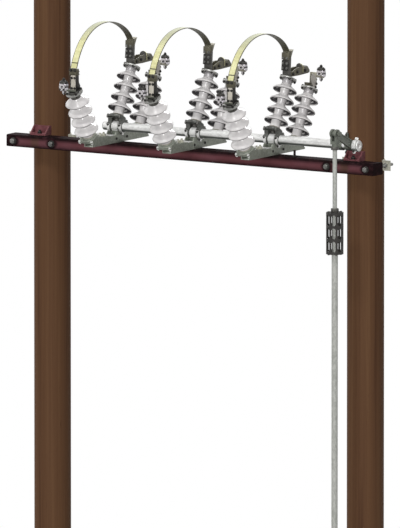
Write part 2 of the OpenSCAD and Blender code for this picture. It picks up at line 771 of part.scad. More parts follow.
// A band round the right pole and a long eye that the rod slides and swings in
module rod_guide(z) {
    room_r = lower_rod_d / 2 + guide_gap;
    outer_r = room_r + guide_t;
    far_y = shaft_y - crank_l;
    color([0.5, 0.51, 0.48])
    translate([crank_x, 0, z]) difference() {
        union() {
            cylinder(r = pole_r + clamp_fit + guide_t, h = guide_h, $fn = 72);
            translate([0, far_y, 0]) cylinder(r = outer_r, h = guide_h);
            translate([-outer_r, far_y, 0]) cube([2 * outer_r, -far_y - pole_r / 2, guide_h]);
        }
        translate([0, 0, -guide_t]) cylinder(r = pole_r + clamp_fit, h = guide_h + 2 * guide_t, $fn = 72);
        translate([0, 0, -guide_t]) linear_extrude(guide_h + 2 * guide_t) {
            translate([0, far_y]) circle(room_r);
            translate([-room_r, far_y]) square([2 * room_r, pin_y - far_y]);
            translate([0, pin_y]) circle(room_r);
            translate([-room_r, pin_y + room_r + guide_t])
                square([2 * room_r, -pin_y - room_r - 2 * guide_t - pole_r]);
        }
    }
}

pole(0);  // left_pole
pole(pole_spacing);  // right_pole
crossarm();
cleat(0);  // left_cleat
cleat(pole_spacing);  // right_cleat
strap(0);  // left_strap
strap(pole_spacing);  // right_strap
studs(0);  // left_studs
studs(pole_spacing);  // right_studs
base_channel(1);  // base_channel_1
base_channel(2);  // base_channel_2
base_channel(3);  // base_channel_3
shaft_bearing(1);  // shaft_bearing_1
shaft_bearing(2);  // shaft_bearing_2
shaft_bearing(3);  // shaft_bearing_3
end_bearing();
front_insulator(1);  // front_insulator_1
front_insulator(2);  // front_insulator_2
front_insulator(3);  // front_insulator_3
rear_insulator(1);  // rear_insulator_1
rear_insulator(2);  // rear_insulator_2
rear_insulator(3);  // rear_insulator_3
front_terminal(1);  // front_terminal_1
front_terminal(2);  // front_terminal_2
front_terminal(3);  // front_terminal_3
rear_contact(1);  // rear_contact_1
rear_contact(2);  // rear_contact_2
rear_contact(3);  // rear_contact_3
rod_guide(low_guide_z);  // low_rod_guide
rod_guide(high_guide_z);  // high_rod_guide
rocking_shaft();
crank();
rocker(1);  // rocker_1
rocker(2);  // rocker_2
rocker(3);  // rocker_3
moving_insulator(1);  // moving_insulator_1
moving_insulator(2);  // moving_insulator_2
moving_insulator(3);  // moving_insulator_3
moving_contact(1);  // moving_contact_1
moving_contact(2);  // moving_contact_2
moving_contact(3);  // moving_contact_3
flexible_strip(1);  // flexible_strip_1
flexible_strip(2);  // flexible_strip_2
flexible_strip(3);  // flexible_strip_3
rod_clevis();
upper_rod();
rod_cage();
lower_rod();
hand_grip();
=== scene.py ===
import json
import math

import bpy
from mathutils import Matrix, Vector


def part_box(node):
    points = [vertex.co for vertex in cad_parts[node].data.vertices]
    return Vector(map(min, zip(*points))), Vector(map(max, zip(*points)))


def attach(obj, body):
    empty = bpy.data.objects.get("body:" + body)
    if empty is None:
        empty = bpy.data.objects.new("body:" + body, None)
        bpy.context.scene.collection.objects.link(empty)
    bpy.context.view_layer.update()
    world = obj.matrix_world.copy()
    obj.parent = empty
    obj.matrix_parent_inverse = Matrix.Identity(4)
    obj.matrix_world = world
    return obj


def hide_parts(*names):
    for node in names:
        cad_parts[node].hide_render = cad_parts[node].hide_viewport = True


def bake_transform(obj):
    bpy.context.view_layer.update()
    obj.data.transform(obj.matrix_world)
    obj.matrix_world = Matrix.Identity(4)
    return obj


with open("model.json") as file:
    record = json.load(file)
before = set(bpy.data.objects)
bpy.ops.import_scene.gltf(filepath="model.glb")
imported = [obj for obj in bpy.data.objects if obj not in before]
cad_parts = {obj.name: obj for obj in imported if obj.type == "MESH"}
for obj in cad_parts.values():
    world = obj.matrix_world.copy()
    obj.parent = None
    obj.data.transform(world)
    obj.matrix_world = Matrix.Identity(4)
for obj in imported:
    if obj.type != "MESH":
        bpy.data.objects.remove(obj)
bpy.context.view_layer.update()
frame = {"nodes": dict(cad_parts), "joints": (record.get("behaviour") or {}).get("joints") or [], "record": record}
print("frame loaded:", len(frame["nodes"]), "nodes")


def deselectAll():
    bpy.ops.object.select_all(action="DESELECT")


def active():
    return bpy.context.view_layer.objects.active


def takeUp(piece):
    deselectAll()
    piece.select_set(True)
    bpy.context.view_layer.objects.active = piece


def enterEdit(action="SELECT"):
    bpy.ops.object.mode_set(mode="EDIT")
    bpy.ops.mesh.select_all(action=action)


def leaveEdit():
    bpy.ops.object.mode_set(mode="OBJECT")


def modify(piece, kind, **settings):
    takeUp(piece)
    modifier = piece.modifiers.new(kind.lower(), kind)
    for key, value in settings.items():
        setattr(modifier, key, value)
    bpy.ops.object.modifier_apply(modifier=modifier.name)
    return piece


def roundEdges(piece, width):
    settings = {"limit_method": "ANGLE", "angle_limit": math.radians(35), "harden_normals": False}
    return modify(piece, "BEVEL", width=width, segments=2, **settings)


def smooth(piece, degrees=40):
    takeUp(piece)
    bpy.ops.object.shade_smooth_by_angle(angle=math.radians(degrees))
    return piece


def nameIt(piece, name):
    piece.name = name
    piece.data.name = name
    return piece


def at(x=0, y=0, z=0):
    return Matrix.Translation((x, y, z))


def spun(degrees, axis="Z"):
    return Matrix.Rotation(math.radians(degrees), 4, axis)


def settle(piece, matrix):
    # the place goes into the mesh, and the object stays at the origin
    piece.matrix_world = matrix
    takeUp(piece)
    bpy.ops.object.transform_apply(location=True, rotation=True, scale=True)
    return piece


def copyTo(piece, matrix, name="copy"):
    twin = piece.copy()
    twin.data = piece.data.copy()
    bpy.context.scene.collection.objects.link(twin)
    nameIt(twin, name)
    return settle(twin, matrix)


def join(parts):
    deselectAll()
    for part in parts:
        part.select_set(True)
    bpy.context.view_layer.objects.active = parts[0]
    if len(parts) > 1:
        bpy.ops.object.join()
    return parts[0]


def setOf(master, places):
    return join([copyTo(master, place) for place in places])


def remove(*pieces):
    for piece in pieces:
        bpy.data.objects.remove(piece)


def extrude(by):
    bpy.ops.mesh.extrude_region_move(TRANSFORM_OT_translate={"value": by})


def drawn(points):
    # a line through the points, selected and in edit mode
    deselectAll()
    bpy.ops.mesh.primitive_plane_add(size=0.01)
    piece = active()
    enterEdit()
    bpy.ops.mesh.merge(type="CENTER")
    bpy.ops.transform.translate(value=points[0])
    for here, there in zip(points, points[1:]):
        extrude(Vector(there) - Vector(here))
    bpy.ops.mesh.select_all(action="SELECT")
    return piece


def closed(piece, edge):
    # joins the seams, turns the faces out and rounds the edges
    bpy.ops.mesh.select_all(action="SELECT")
    bpy.ops.mesh.remove_doubles(threshold=0.00002)
    bpy.ops.mesh.normals_make_consistent(inside=False)
    leaveEdit()
    if edge:
        roundEdges(piece, edge)
    return smooth(piece)


def turned(outline, steps=32, edge=0):
    # an outline of (radius, height) points is spun about the Z axis
    piece = drawn([(radius, 0, height) for radius, height in outline])
    bpy.ops.mesh.spin(steps=steps, angle=2 * math.pi, center=(0, 0, 0), axis=(0, 0, 1))
    return closed(piece, edge)


def plate(outline, width, middle=0, edge=0.0008):
    # an outline of (y, z) points becomes a plate of that width along X
    piece = drawn([(middle - width / 2, y, z) for y, z in outline])
    bpy.ops.mesh.edge_face_add()
    extrude((width, 0, 0))
    return closed(piece, edge)


def barBetween(start, end, width, thickness, edge=0.0008):
    # a flat bar from one (y, z) point to another
    run = (end - start).normalized()
    side = Vector((-run.y, run.x)) * thickness / 2
    return plate([start - side, end - side, end + side, start + side], width, 0, edge)


def box(low, high):
    # the outline from one (y, z) corner to the other
    return [low, (high[0], low[1]), high, (low[0], high[1])]


# all sizes are shares of the thread's diameter
nutForm = {"corner": 0.9, "inset": 0.12, "dome": 0.07, "edge": 0.04}
threadForm = {"pitch": 0.14, "crest": 0.5, "root": 0.44, "tip": 0.34, "chamfer": 0.1}


def hexNut(size, height=0.8):
    # stands on z = 0; size is the thread's diameter
    deselectAll()
    radius = nutForm["corner"] * size
    bpy.ops.mesh.primitive_cylinder_add(vertices=6, radius=radius, depth=height * size)
    piece = settle(active(), at(z=height * size / 2))
    enterEdit("DESELECT")
    leaveEdit()
    for face in piece.data.polygons:
        face.select = face.normal.z > 0.9
    bpy.ops.object.mode_set(mode="EDIT")
    bpy.ops.mesh.inset(thickness=nutForm["inset"] * size)
    bpy.ops.transform.translate(value=(0, 0, nutForm["dome"] * size))
    leaveEdit()
    return smooth(roundEdges(piece, nutForm["edge"] * size), 30)


def threads(size, length):
    # a threaded shank that stands on z = 0, with a chamfered end
    count = max(2, round(length / (threadForm["pitch"] * size)))
    crest, root, tip, chamfer = (threadForm[key] * size for key in ("crest", "root", "tip", "chamfer"))
    outline = [(0, 0)]
    for turn in range(count):
        outline += [(root, turn * length / count), (crest, (turn + 0.5) * length / count)]
    return turned(outline + [(root, length), (tip, length + chamfer), (0, length + chamfer)], 20)


def looped(points, steps):
    # a smooth closed line through the points
    line = []
    for k in range(len(points)):
        a, b, c, d = (Vector(points[(k + j - 1) % len(points)]) for j in range(4))
        for t in (s / steps for s in range(steps)):
            cubic = (2 * a - 5 * b + 4 * c - d) * t * t + (3 * b - 3 * c + d - a) * t ** 3
            line.append((2 * b + (c - a) * t + cubic) / 2)
    return line


def arcPoints(radius, start, end, steps):
    # points on a circle, with the angles in degrees
    turns = (math.radians(start + (end - start) * k / steps) for k in range(steps + 1))
    return [(radius * math.cos(turn), radius * math.sin(turn)) for turn in turns]


def shade(red, green, blue):
    # a colour as a screen shows it, from 0 to 255, for a shader
    levels = (level / 255 for level in (red, green, blue))
    return tuple((v / 12.92 if v <= 0.04045 else ((v + 0.055) / 1.055) ** 2.4) for v in levels) + (1,)


class Surface:
    # a Principled material whose patterns are read from Object coordinates
    def __init__(self, name, roughness, metallic=0.0, specular=0.5):
        self.material = bpy.data.materials.new(name)
        self.material.use_nodes = True
        self.nodes, self.links = self.material.node_tree.nodes, self.material.node_tree.links
        self.shader = self.nodes["Principled BSDF"]
        self.shader.inputs["Roughness"].default_value = roughness
        self.shader.inputs["Metallic"].default_value = metallic
        self.shader.inputs["Specular IOR Level"].default_value = specular
        self.source = self.nodes.new("ShaderNodeTexCoord")

    def node(self, kind, settings=(), **inputs):
        # a node with its settings, and with values or other nodes' results in its sockets
        made = self.nodes.new("ShaderNode" + kind)
        for key, value in dict(settings).items():
            setattr(made, key, value)
        for key, value in inputs.items():
            self.put(value, made.inputs[key.replace("_", " ")])
        return made

    def put(self, value, socket):
        if isinstance(value, (int, float, tuple)):
            socket.default_value = value
        else:
            self.links.new(value, socket)

    def mapped(self, scale=(1, 1, 1), move=(0, 0, 0)):
        place = self.source.outputs["Object"]
        return self.node("Mapping", Vector=place, Scale=scale, Location=move).outputs["Vector"]

    def noise(self, size, detail=4, stretch=(1, 1, 1), roughness=0.55, distortion=0.0):
        inputs = {"Scale": 1 / size, "Detail": detail, "Roughness": roughness, "Distortion": distortion}
        return self.node("TexNoise", Vector=self.mapped(stretch), **inputs).outputs["Fac"]

    def cells(self, size, stretch=(1, 1, 1), output="Distance"):
        return self.node("TexVoronoi", Scale=1 / size, Vector=self.mapped(stretch)).outputs[output]

    def ramp(self, value, stops, ease="EASE"):
        ramp = self.node("ValToRGB", Fac=value)
        ramp.color_ramp.interpolation = ease
        elements = ramp.color_ramp.elements
        while len(elements) < len(stops):
            elements.new(0.5)
        for element, (position, colour) in zip(elements, stops):
            element.position = position
            element.color = colour if isinstance(colour, tuple) else (colour, colour, colour, 1)
        return ramp.outputs["Color"]

    def clouds(self, value, low, high, start, end):
        return self.ramp(value, [(start, shade(*low)), (end, shade(*high))])

    def blend(self, share, first, second):
        # the second is a colour as a screen shows it
        mix = self.node("Mix", {"data_type": "RGBA"})
        second = shade(*second) if isinstance(second, tuple) else second
        for value, socket in ((share, 0), (first, 6), (second, 7)):
            self.put(value, mix.inputs[socket])
        return mix.outputs[2]

    def maths(self, kind, first, second=0):
        maths = self.node("Math", {"operation": kind})
        self.put(first, maths.inputs[0])
        self.put(second, maths.inputs[1])
        return maths.outputs[0]

    def times(self, first, second):
        return self.maths("MULTIPLY", first, second)

    def plus(self, first, second):
        return self.maths("ADD", first, second)

    def larger(self, first, second):
        return self.maths("MAXIMUM", first, second)

    def weigh(self, first, share, second):
        # the first has this share, and the second has the rest
        return self.plus(self.times(first, share), self.times(second, 1 - share))

    def apart(self, value, place):
        return self.maths("ABSOLUTE", self.maths("SUBTRACT", value, place))

    def share(self, value, low, high, to=(0.0, 1.0)):
        # how far a value is between two others, or the same share of another range
        inputs = dict(zip(("From_Min", "From_Max", "To_Min", "To_Max"), (low, high, *to)))
        return self.node("MapRange", Value=value, **inputs).outputs["Result"]

    def distance(self, value, point):
        # how far a place is from a point
        reach = self.node("VectorMath", {"operation": "DISTANCE"})
        self.put(value, reach.inputs[0])
        self.put(point, reach.inputs[1])
        return reach.outputs["Value"]

    def facing(self, axis="Z"):
        # the part of the surface's own direction along an axis of the piece
        return self.node("SeparateXYZ", Vector=self.source.outputs["Normal"]).outputs[axis]

    def along(self, axis="Z"):
        return self.node("SeparateXYZ", Vector=self.source.outputs["Object"]).outputs[axis]

    def colour(self, value):
        self.put(value, self.shader.inputs["Base Color"])

    def rough(self, value, low, high):
        self.put(self.share(value, 0, 1, (low, high)), self.shader.inputs["Roughness"])

    def raised(self, height, depth, strength=1.0):
        bump = self.node("Bump", Strength=strength, Distance=depth, Height=height)
        self.put(bump.outputs["Normal"], self.shader.inputs["Normal"])


def middleX(node):
    low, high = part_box(node)
    return (low.x + high.x) / 2


armLow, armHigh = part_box("crossarm")
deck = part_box("left_cleat")[0].z
armMiddle = Vector((middleX("crossarm"), 0, (armLow.z + deck) / 2))
poles = {"left": middleX("left_pole"), "right": middleX("right_pole")}
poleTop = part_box("left_pole")[1].z
phases = (1, 2, 3)
phaseX = {i: middleX(f"front_insulator_{i}") for i in phases}
stripLow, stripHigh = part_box("flexible_strip_1")
stripWidth = stripHigh.x - stripLow.x

wood = {  # colours, sizes of the patterns, and how much they are drawn out along the pole
    "light": (106, 77, 54), "middle": (95, 67, 47), "dark": (75, 50, 35), "check": (38, 25, 18),
    "ringLight": (138, 104, 72), "ringDark": (92, 62, 42), "bevel": 0.022, "ringWidth": 0.011,
    "streak": 0.014, "band": 0.075, "fleck": 0.004, "crack": 0.03, "patch": 0.4,
    "grain": (1, 1, 0.014), "fleckLong": (1, 1, 0.06), "crackLong": (1, 1, 0.012), "patchLong": (1, 1, 0.35),
}


def poleWood(name, axisX):
    # faint bands and a few drying checks run up the pole, and its cut top shows the rings
    skin = Surface(name, 0.66, specular=0.08)
    streak = skin.noise(wood["streak"], 6, wood["grain"], 0.6)
    band = skin.noise(wood["band"], 2, wood["grain"], 0.5)
    tones = [(0.34, shade(*wood["dark"])), (0.5, shade(*wood["middle"])), (0.66, shade(*wood["light"]))]
    grain = skin.ramp(skin.weigh(streak, 0.35, band), tones)
    fleck = skin.ramp(skin.noise(wood["fleck"], 3, wood["fleckLong"], 0.6), [(0.58, 0.0), (0.74, 0.3)])
    crack = skin.noise(wood["crack"], 2, wood["crackLong"], 0.5, 0.6)
    line = skin.ramp(crack, [(0.475, 0.0), (0.496, 0.0), (0.5, 1.0), (0.504, 0.0)], "LINEAR")
    where = skin.ramp(skin.noise(wood["patch"], 2, wood["patchLong"]), [(0.54, 0.0), (0.64, 1.0)])
    checks = skin.times(line, where)
    flecked = skin.blend(fleck, grain, wood["dark"])
    body = skin.blend(skin.times(checks, 0.75), flecked, wood["check"])
    # the rings are circles round the pole's axis
    kind = {"wave_type": "RINGS", "rings_direction": "Z", "wave_profile": "SAW"}
    wave = {"Scale": 1 / wood["ringWidth"] / math.pi, "Distortion": 0.8, "Detail_Scale": 6}
    ring = skin.node("TexWave", kind, Vector=skin.mapped((1, 1, 0), (-axisX, 0, 0)), **wave)
    rings = skin.clouds(ring.outputs["Fac"], wood["ringLight"], wood["ringDark"], 0.1, 0.95)
    cutFrom = poleTop - wood["bevel"] * 0.9
    skin.colour(skin.blend(skin.share(skin.along("Z"), cutFrom, cutFrom + 0.001), body, rings))
    skin.rough(streak, 0.5, 0.78)
    skin.raised(skin.maths("SUBTRACT", skin.times(streak, 0.5), checks), 0.0018, 0.6)
    return skin.material


stud = {
    "size": 0.020, "x": 0.154, "washer": 0.005, "sink": 0.0003, "tail": 0.062, "ear": 0.005,
    "earThick": 0.006, "nut": 0.8, "out": 1.5,
}
paint = {  # colours, and where the painted shade and the olive patches are, in metres or as shares of the height
    "arm": (110, 70, 76), "armWorn": (98, 58, 62), "paintedShade": (20, 14, 15), "olive": (88, 74, 52),
    "cleat": (118, 73, 77), "cleatWorn": (98, 57, 60), "chip": (64, 58, 54),
    # painted shade in bands along the top and bottom edges, by share of the height
    "edges": [(0.03, 0.9), (0.15, 0.7), (0.3, 0.25), (0.45, 0.0), (0.58, 0.04), (0.72, 0.5), (0.86, 0.95)],
    "endFrom": 0.115, "endTo": 0.065, "studFull": 0.034, "studGone": 0.056,
    "oliveInside": 0.018, "oliveFull": 0.02, "oliveGone": 0.045,
}


def armPaint():
    # dark maroon paint with painted shade on the top face, in bands along both edges and round the studs, darker
    # towards the ends, and a few chips
    skin = Surface("armPaint", 0.6, specular=0.015)
    blotch = skin.noise(0.16, 5, (0.5, 1, 1))
    coat = skin.clouds(blotch, paint["armWorn"], paint["arm"], 0.35, 0.62)
    # olive patches: some in clouds, and one at each pole
    olivePatch = skin.ramp(skin.noise(0.3, 2, (0.6, 1, 1)), [(0.6, 0.0), (0.7, 0.5)])
    fromMiddle, half = skin.apart(skin.along("X"), armMiddle.x), armHigh.x - armMiddle.x
    poleOut = poles["right"] - armMiddle.x
    atPole = skin.apart(fromMiddle, poleOut - paint["oliveInside"])
    olivePatch = skin.larger(olivePatch, skin.share(atPole, paint["oliveFull"], paint["oliveGone"], (0.45, 0)))
    # painted shade in bands along the top and bottom edges
    edges = skin.ramp(skin.share(skin.along("Z"), armLow.z, deck), paint["edges"])
    # painted shade on the faces that look up
    top = skin.ramp(skin.facing("Z"), [(0.3, 0.0), (0.6, 1.0)])
    ends = skin.share(fromMiddle, half - paint["endFrom"], half - paint["endTo"], (0, 0.96))
    paintedShade = skin.larger(skin.larger(edges, top), ends)
    spot = skin.node("CombineXYZ", X=fromMiddle, Z=skin.along("Z")).outputs["Vector"]
    # painted shade in a ring round each stud
    for x in (poleOut - stud["x"], poleOut + stud["x"]):
        reach = skin.distance(spot, (x, 0, armMiddle.z))
        paintedShade = skin.larger(paintedShade, skin.share(reach, paint["studFull"], paint["studGone"], (0.95, 0)))
    patchy = skin.times(paintedShade, skin.ramp(skin.noise(0.04, 5), [(0.25, 0.8), (0.6, 1.0)]))
    shadedCoat = skin.blend(patchy, skin.blend(olivePatch, coat, paint["olive"]), paint["paintedShade"])
    chips = skin.ramp(skin.noise(0.012, 4, roughness=0.7), [(0.7, 0.0), (0.735, 1.0)])
    skin.colour(skin.blend(skin.times(chips, 0.5), shadedCoat, paint["chip"]))
    skin.rough(blotch, 0.55, 0.75)
    skin.raised(skin.maths("SUBTRACT", skin.noise(0.002, 2), skin.times(chips, 1.5)), 0.0004, 0.5)
    return skin.material


def cleatPaint():
    skin = Surface("cleatPaint", 0.5, specular=0.15)
    blotch = skin.noise(0.05, 5)
    coat = skin.clouds(blotch, paint["cleatWorn"], paint["cleat"], 0.35, 0.6)
    chips = skin.ramp(skin.noise(0.01, 4, roughness=0.7), [(0.68, 0.0), (0.72, 0.7)])
    skin.colour(skin.blend(chips, coat, paint["chip"]))
    skin.rough(blotch, 0.36, 0.62)
    skin.raised(skin.noise(0.003, 4), 0.0008, 0.6)  # cast skin under the paint
    return skin.material


zinc = {  # low and high colour, how metallic, how rough, size of the crystals
    "dull": ((128, 132, 122), (152, 156, 145), 0.3, 0.5, 0.011),
    "strap": ((166, 165, 151), (190, 189, 175), 0.3, 0.48, 0.011),
    "forged": ((88, 92, 84), (116, 120, 110), 0.35, 0.46, 0.006),
    "rocker": ((66, 67, 64), (96, 97, 93), 0.45, 0.46, 0.005),
    "bolt": ((84, 84, 82), (122, 122, 118), 0.6, 0.4, 0.004),
    "bright": ((216, 216, 214), (238, 238, 236), 0.3, 0.3, 0.008),
    "rod": ((158, 160, 154), (184, 185, 180), 0.35, 0.42, 0.008),
    "flange": ((140, 140, 136), (172, 172, 168), 0.4, 0.38, 0.006),
}
# the colour and the range of painted shade on faces that look down
underside = {"colour": (84, 92, 84), "from": -0.5, "to": -0.2, "share": 0.85}


def zincCoat(tone, stretch=(1, 1, 1), shadeBelow=False, brightAbove=None):
    # hot-dip zinc: flat crystals with faint edges, and a dull bloom over them; painted shade can darken the faces
    # that look down, and the part above a height can take the bright colour
    low, high, metallic, roughness, spangle = zinc[tone]
    skin = Surface("zinc_" + tone, roughness, metallic)
    crystal = skin.node("SeparateColor", Color=skin.cells(spangle, stretch, "Color")).outputs
    mixed = skin.weigh(crystal[0], 0.3, skin.noise(0.09, 5))
    coat = skin.clouds(mixed, low, high, 0.3, 0.68)
    # painted shade on the faces that look down
    if shadeBelow:
        to = (underside["share"], 0)
        below = skin.share(skin.facing("Z"), underside["from"], underside["to"], to)
        coat = skin.blend(below, coat, underside["colour"])
    if brightAbove:
        # the part above this height takes the bright colour
        upperShare = skin.share(skin.along("Z"), brightAbove, brightAbove + 0.004)
        coat = skin.blend(upperShare, coat, zinc["bright"][0])
    skin.colour(coat)
    skin.rough(mixed, roughness - 0.1, roughness + 0.16)
    skin.raised(skin.plus(crystal[1], skin.noise(0.0025, 3)), 0.00025, 0.5)
    return skin.material


# below is the colour of the painted shade on the faces that look down
glaze = {
    "light": (229, 226, 225), "shadow": (214, 211, 211), "speck": (150, 143, 144), "dustAndShade": (176, 171, 167),
    "below": (92, 90, 93), "belowFrom": -0.62, "belowTo": -0.34,
}


def porcelainGlaze():
    skin = Surface("porcelainGlaze", 0.2, specular=0.2)
    body = skin.clouds(skin.noise(0.07, 4), glaze["shadow"], glaze["light"], 0.35, 0.6)
    specks = skin.ramp(skin.cells(0.012), [(0.03, 0.4), (0.06, 0.0)])
    dustedAndShaded = skin.ramp(skin.noise(0.02, 6, roughness=0.7), [(0.58, 0.0), (0.75, 0.25)])
    specked = skin.blend(specks, skin.blend(dustedAndShaded, body, glaze["dustAndShade"]), glaze["speck"])
    # painted shade on the undersides of the sheds, the faces that look down, which are also rougher
    below = skin.share(skin.facing("Z"), glaze["belowFrom"], glaze["belowTo"], (1, 0))
    skin.colour(skin.blend(below, specked, glaze["below"]))
    wavy = skin.times(skin.noise(0.03, 5), 0.2)
    skin.rough(skin.larger(wavy, skin.times(below, 0.75)), 0.1, 1.0)
    skin.raised(skin.noise(0.05, 2), 0.0006, 0.4)  # the slight waves of a poured glaze
    return skin.material


def metal(name, low, high, metallic, roughness, grain=0.01, stretch=(1, 1, 1), bump=0.0004, rim=(), axis="X"):
    # two tones in clouds and fine grain; a rim is a darker colour on faces that look away from the axis
    skin = Surface(name, roughness, metallic)
    fine = skin.noise(grain / 4, 4, stretch, 0.65)
    mixed = skin.weigh(skin.noise(grain * 4, 5, stretch), 0.6, fine)
    coat = skin.clouds(mixed, low, high, 0.38, 0.6)
    if rim:
        flat = skin.maths("ABSOLUTE", skin.facing(axis))
        coat = skin.blend(skin.share(flat, 0.75, 0.95, (1, 0)), coat, rim)
    skin.colour(coat)
    skin.rough(mixed, roughness - 0.1, roughness + 0.18)
    skin.raised(fine, bump, 0.6)
    return skin.material


brass = {
    "low": (214, 211, 156), "high": (232, 230, 180), "edge": (90, 86, 60), "seam": (196, 192, 140),
    "dustAndShade": (186, 188, 158), "strands": 7, "edgeFrom": 0.405, "edgeTo": 0.45,
}


def stripBrass():
    # pale brass, darker along both side edges, with painted shade on the faces that look up, and faint seams
    # between the leaves' strands
    skin = Surface("stripBrass", 0.4, 0.2)
    cloud = skin.noise(0.03, 4, (0.2, 1, 1))
    body = skin.clouds(cloud, brass["low"], brass["high"], 0.38, 0.6)
    fromFirst = skin.maths("SUBTRACT", skin.along("X"), phaseX[1])
    across = skin.maths("PINGPONG", fromFirst, (phaseX[2] - phaseX[1]) / 2)
    strand = stripWidth / brass["strands"]
    seams = skin.maths("LESS_THAN", skin.maths("PINGPONG", across, strand), strand / 2)
    seamed = skin.blend(skin.times(seams, 0.25), body, brass["seam"])
    # painted shade: faces that look up take a greyer colour
    dustedAndShaded = skin.blend(skin.share(skin.facing("Z"), 0.7, 0.96), seamed, brass["dustAndShade"])
    edge = skin.share(across, stripWidth * brass["edgeFrom"], stripWidth * brass["edgeTo"])
    skin.colour(skin.blend(edge, dustedAndShaded, brass["edge"]))
    skin.rough(cloud, 0.3, 0.5)
    skin.raised(skin.noise(0.0015, 3, (0.08, 1, 1)), 0.0002, 0.5)
    return skin.material


looks = {  # the slots' own looks, and then those of single pieces
    "arm_paint": armPaint(),
    "cleat_paint": cleatPaint(),
    "galvanised": zincCoat("dull"),
    "bolt_steel": zincCoat("bolt"),
    "porcelain": porcelainGlaze(),
    "contact_metal": metal("contactBronze", (68, 65, 53), (98, 94, 77), 0.4, 0.46),
    "strip_metal": stripBrass(),
    # the shaft's zinc has painted shade on the faces that look down
    "shaft_steel": zincCoat("bright", (0.5, 1, 1), True),
    "rod_steel": zincCoat("rod", (1, 1, 0.5)),
    "cage_black": metal("cageEnamel", (24, 22, 20), (44, 41, 38), 0.2, 0.5, 0.008, bump=0.0008),
    "grip_black": metal("gripRubber", (20, 20, 20), (36, 36, 36), 0.0, 0.75, 0.004, bump=0.0006),
    "black": metal("blackSteel", (24, 23, 21), (50, 48, 45), 0.5, 0.48),
    "dark": metal("darkSteel", (58, 57, 54), (88, 86, 82), 0.5, 0.42),
    # one collar in two tones, a painted shaded one and a painted lit one
    "neck_shaded": metal("neckShaded", (72, 72, 68), (94, 93, 88), 0.3, 0.5),
    "neck_lit": metal("neckLit", (140, 138, 139), (172, 169, 170), 0.3, 0.42),
    # the innermost leaf's dull colour is painted shade on the inner side of the arch; the bands use it too
    "lining": metal("stripInner", (66, 63, 48), (90, 87, 68), 0.3, 0.45, 0.006, (0.08, 1, 1), 0.0002),
    "lobe": metal("clampAlloy", (196, 191, 197), (222, 217, 222), 0.2, 0.32),
    # painted shade: the core's sides, seen in the gaps between the lobes, take the dark rim colour
    "core": metal("clampCore", (186, 182, 184), (212, 208, 210), 0.2, 0.36, rim=(58, 56, 54), axis="Y"),
    "blade": metal("bladeBrass", (214, 209, 146), (232, 229, 174), 0.3, 0.38),
    "cream": metal("panelSteel", (186, 180, 168), (212, 206, 194), 0.2, 0.4, rim=(70, 68, 60), axis="Y"),
    "guide": metal("guideSteel", (150, 146, 139), (178, 173, 165), 0.35, 0.4, rim=(44, 42, 40)),
    "olive": metal("oliveSteel", (126, 123, 108), (150, 146, 130), 0.35, 0.42),
    "green": metal("greenSteel", (98, 101, 90), (124, 127, 114), 0.35, 0.44),
    "cement": metal("cement", (150, 144, 132), (178, 172, 160), 0.0, 0.85, 0.004),
    "forged": zincCoat("forged"),
    "strap": zincCoat("strap"),
    "rocker": zincCoat("rocker"),
    "flange": zincCoat("flange"),
    "bright": zincCoat("bright"),
    "bearing": zincCoat("forged", brightAbove=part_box("rocking_shaft")[0].z + 0.004),
}
ownLooks = {
    "crank": "forged", "rod_clevis": "forged", "end_bearing": "forged", "shaft_bearing": "bearing",
    "left_strap": "strap", "right_strap": "strap", "rocker": "rocker",
}


def dress(piece, material):
    piece.data.materials.clear()
    piece.data.materials.append(material)
    return piece


for row in frame["record"]["subparts"]:
    name, slot = row["node"], row["material_slot"]
    if slot == "pole_wood":
        look = poleWood("wood_" + name, middleX(name))
    else:
        look = looks[ownLooks.get(name.rstrip("_123"), slot)]
    dress(frame["nodes"][name], look)
print("materials on the frame's own nodes")


switch = {  # the switch's own layout, in metres and degrees
    "lean": 29, "frontFoot": (-0.353, -0.039), "rearFoot": (0.275, -0.039), "rockRise": 0.052,
    "rockOffset": 0.025, "porcelain": 0.360, "cap": 0.025, "capRadius": 0.059, "trunk": 0.030,
    "foot": 0.020, "seat": 0.008,
}
joints = {joint["name"]: joint for joint in frame["joints"]}
shaftAxis = Vector(joints["shaft_rock"]["pos_m"])
crankPin = Vector(joints["rod_pin"]["pos_m"])
leanSin, leanCos = math.sin(math.radians(switch["lean"])), math.cos(math.radians(switch["lean"]))
insulatorTop = switch["porcelain"] + switch["cap"]


def leaned(foot, direction, out, side=0):
    # a (y, z) point out along a leaning axis and side across it, from the shaft's axis
    away = direction * (out * leanSin + side * leanCos)
    return Vector((foot[0] + away, foot[1] + out * leanCos - side * leanSin))


def standing(foot, direction):
    # the matrix that stands a piece made on z = 0 on a leaning foot, in the middle plane x = 0
    return at(0, shaftAxis.y + foot[0], shaftAxis.z + foot[1]) @ spun(-direction * switch["lean"], "X")


rockFoot = leaned((0, 0), 1, switch["rockRise"], -switch["rockOffset"])
feet = {"front": (switch["frontFoot"], -1), "rear": (switch["rearFoot"], 1), "moving": (rockFoot, 1)}
bottom = {side: standing(*foot) for side, foot in feet.items()}
capTop = {
    side: Vector((shaftAxis.y, shaftAxis.z)) + leaned(*foot, insulatorTop) for side, foot in feet.items()
}
replacedNode = {"front": "front_terminal", "rear": "rear_contact", "moving": "moving_contact"}
bodies = {  # by the first word of a piece's name; all the others are on the frame
    "moving": "shaft", "rocker": "shaft", "crank": "shaft", "shaft": "shaft",
    "rod": "rod", "cage": "rod", "hand": "rod",
}


def give(piece, name, look, replaced=None):
    # one finished piece rides on its body
    nameIt(dress(piece, looks[look]), name)
    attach(piece, bodies.get(name.split("_")[0], "frame"))
    if replaced:
        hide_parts(replaced)


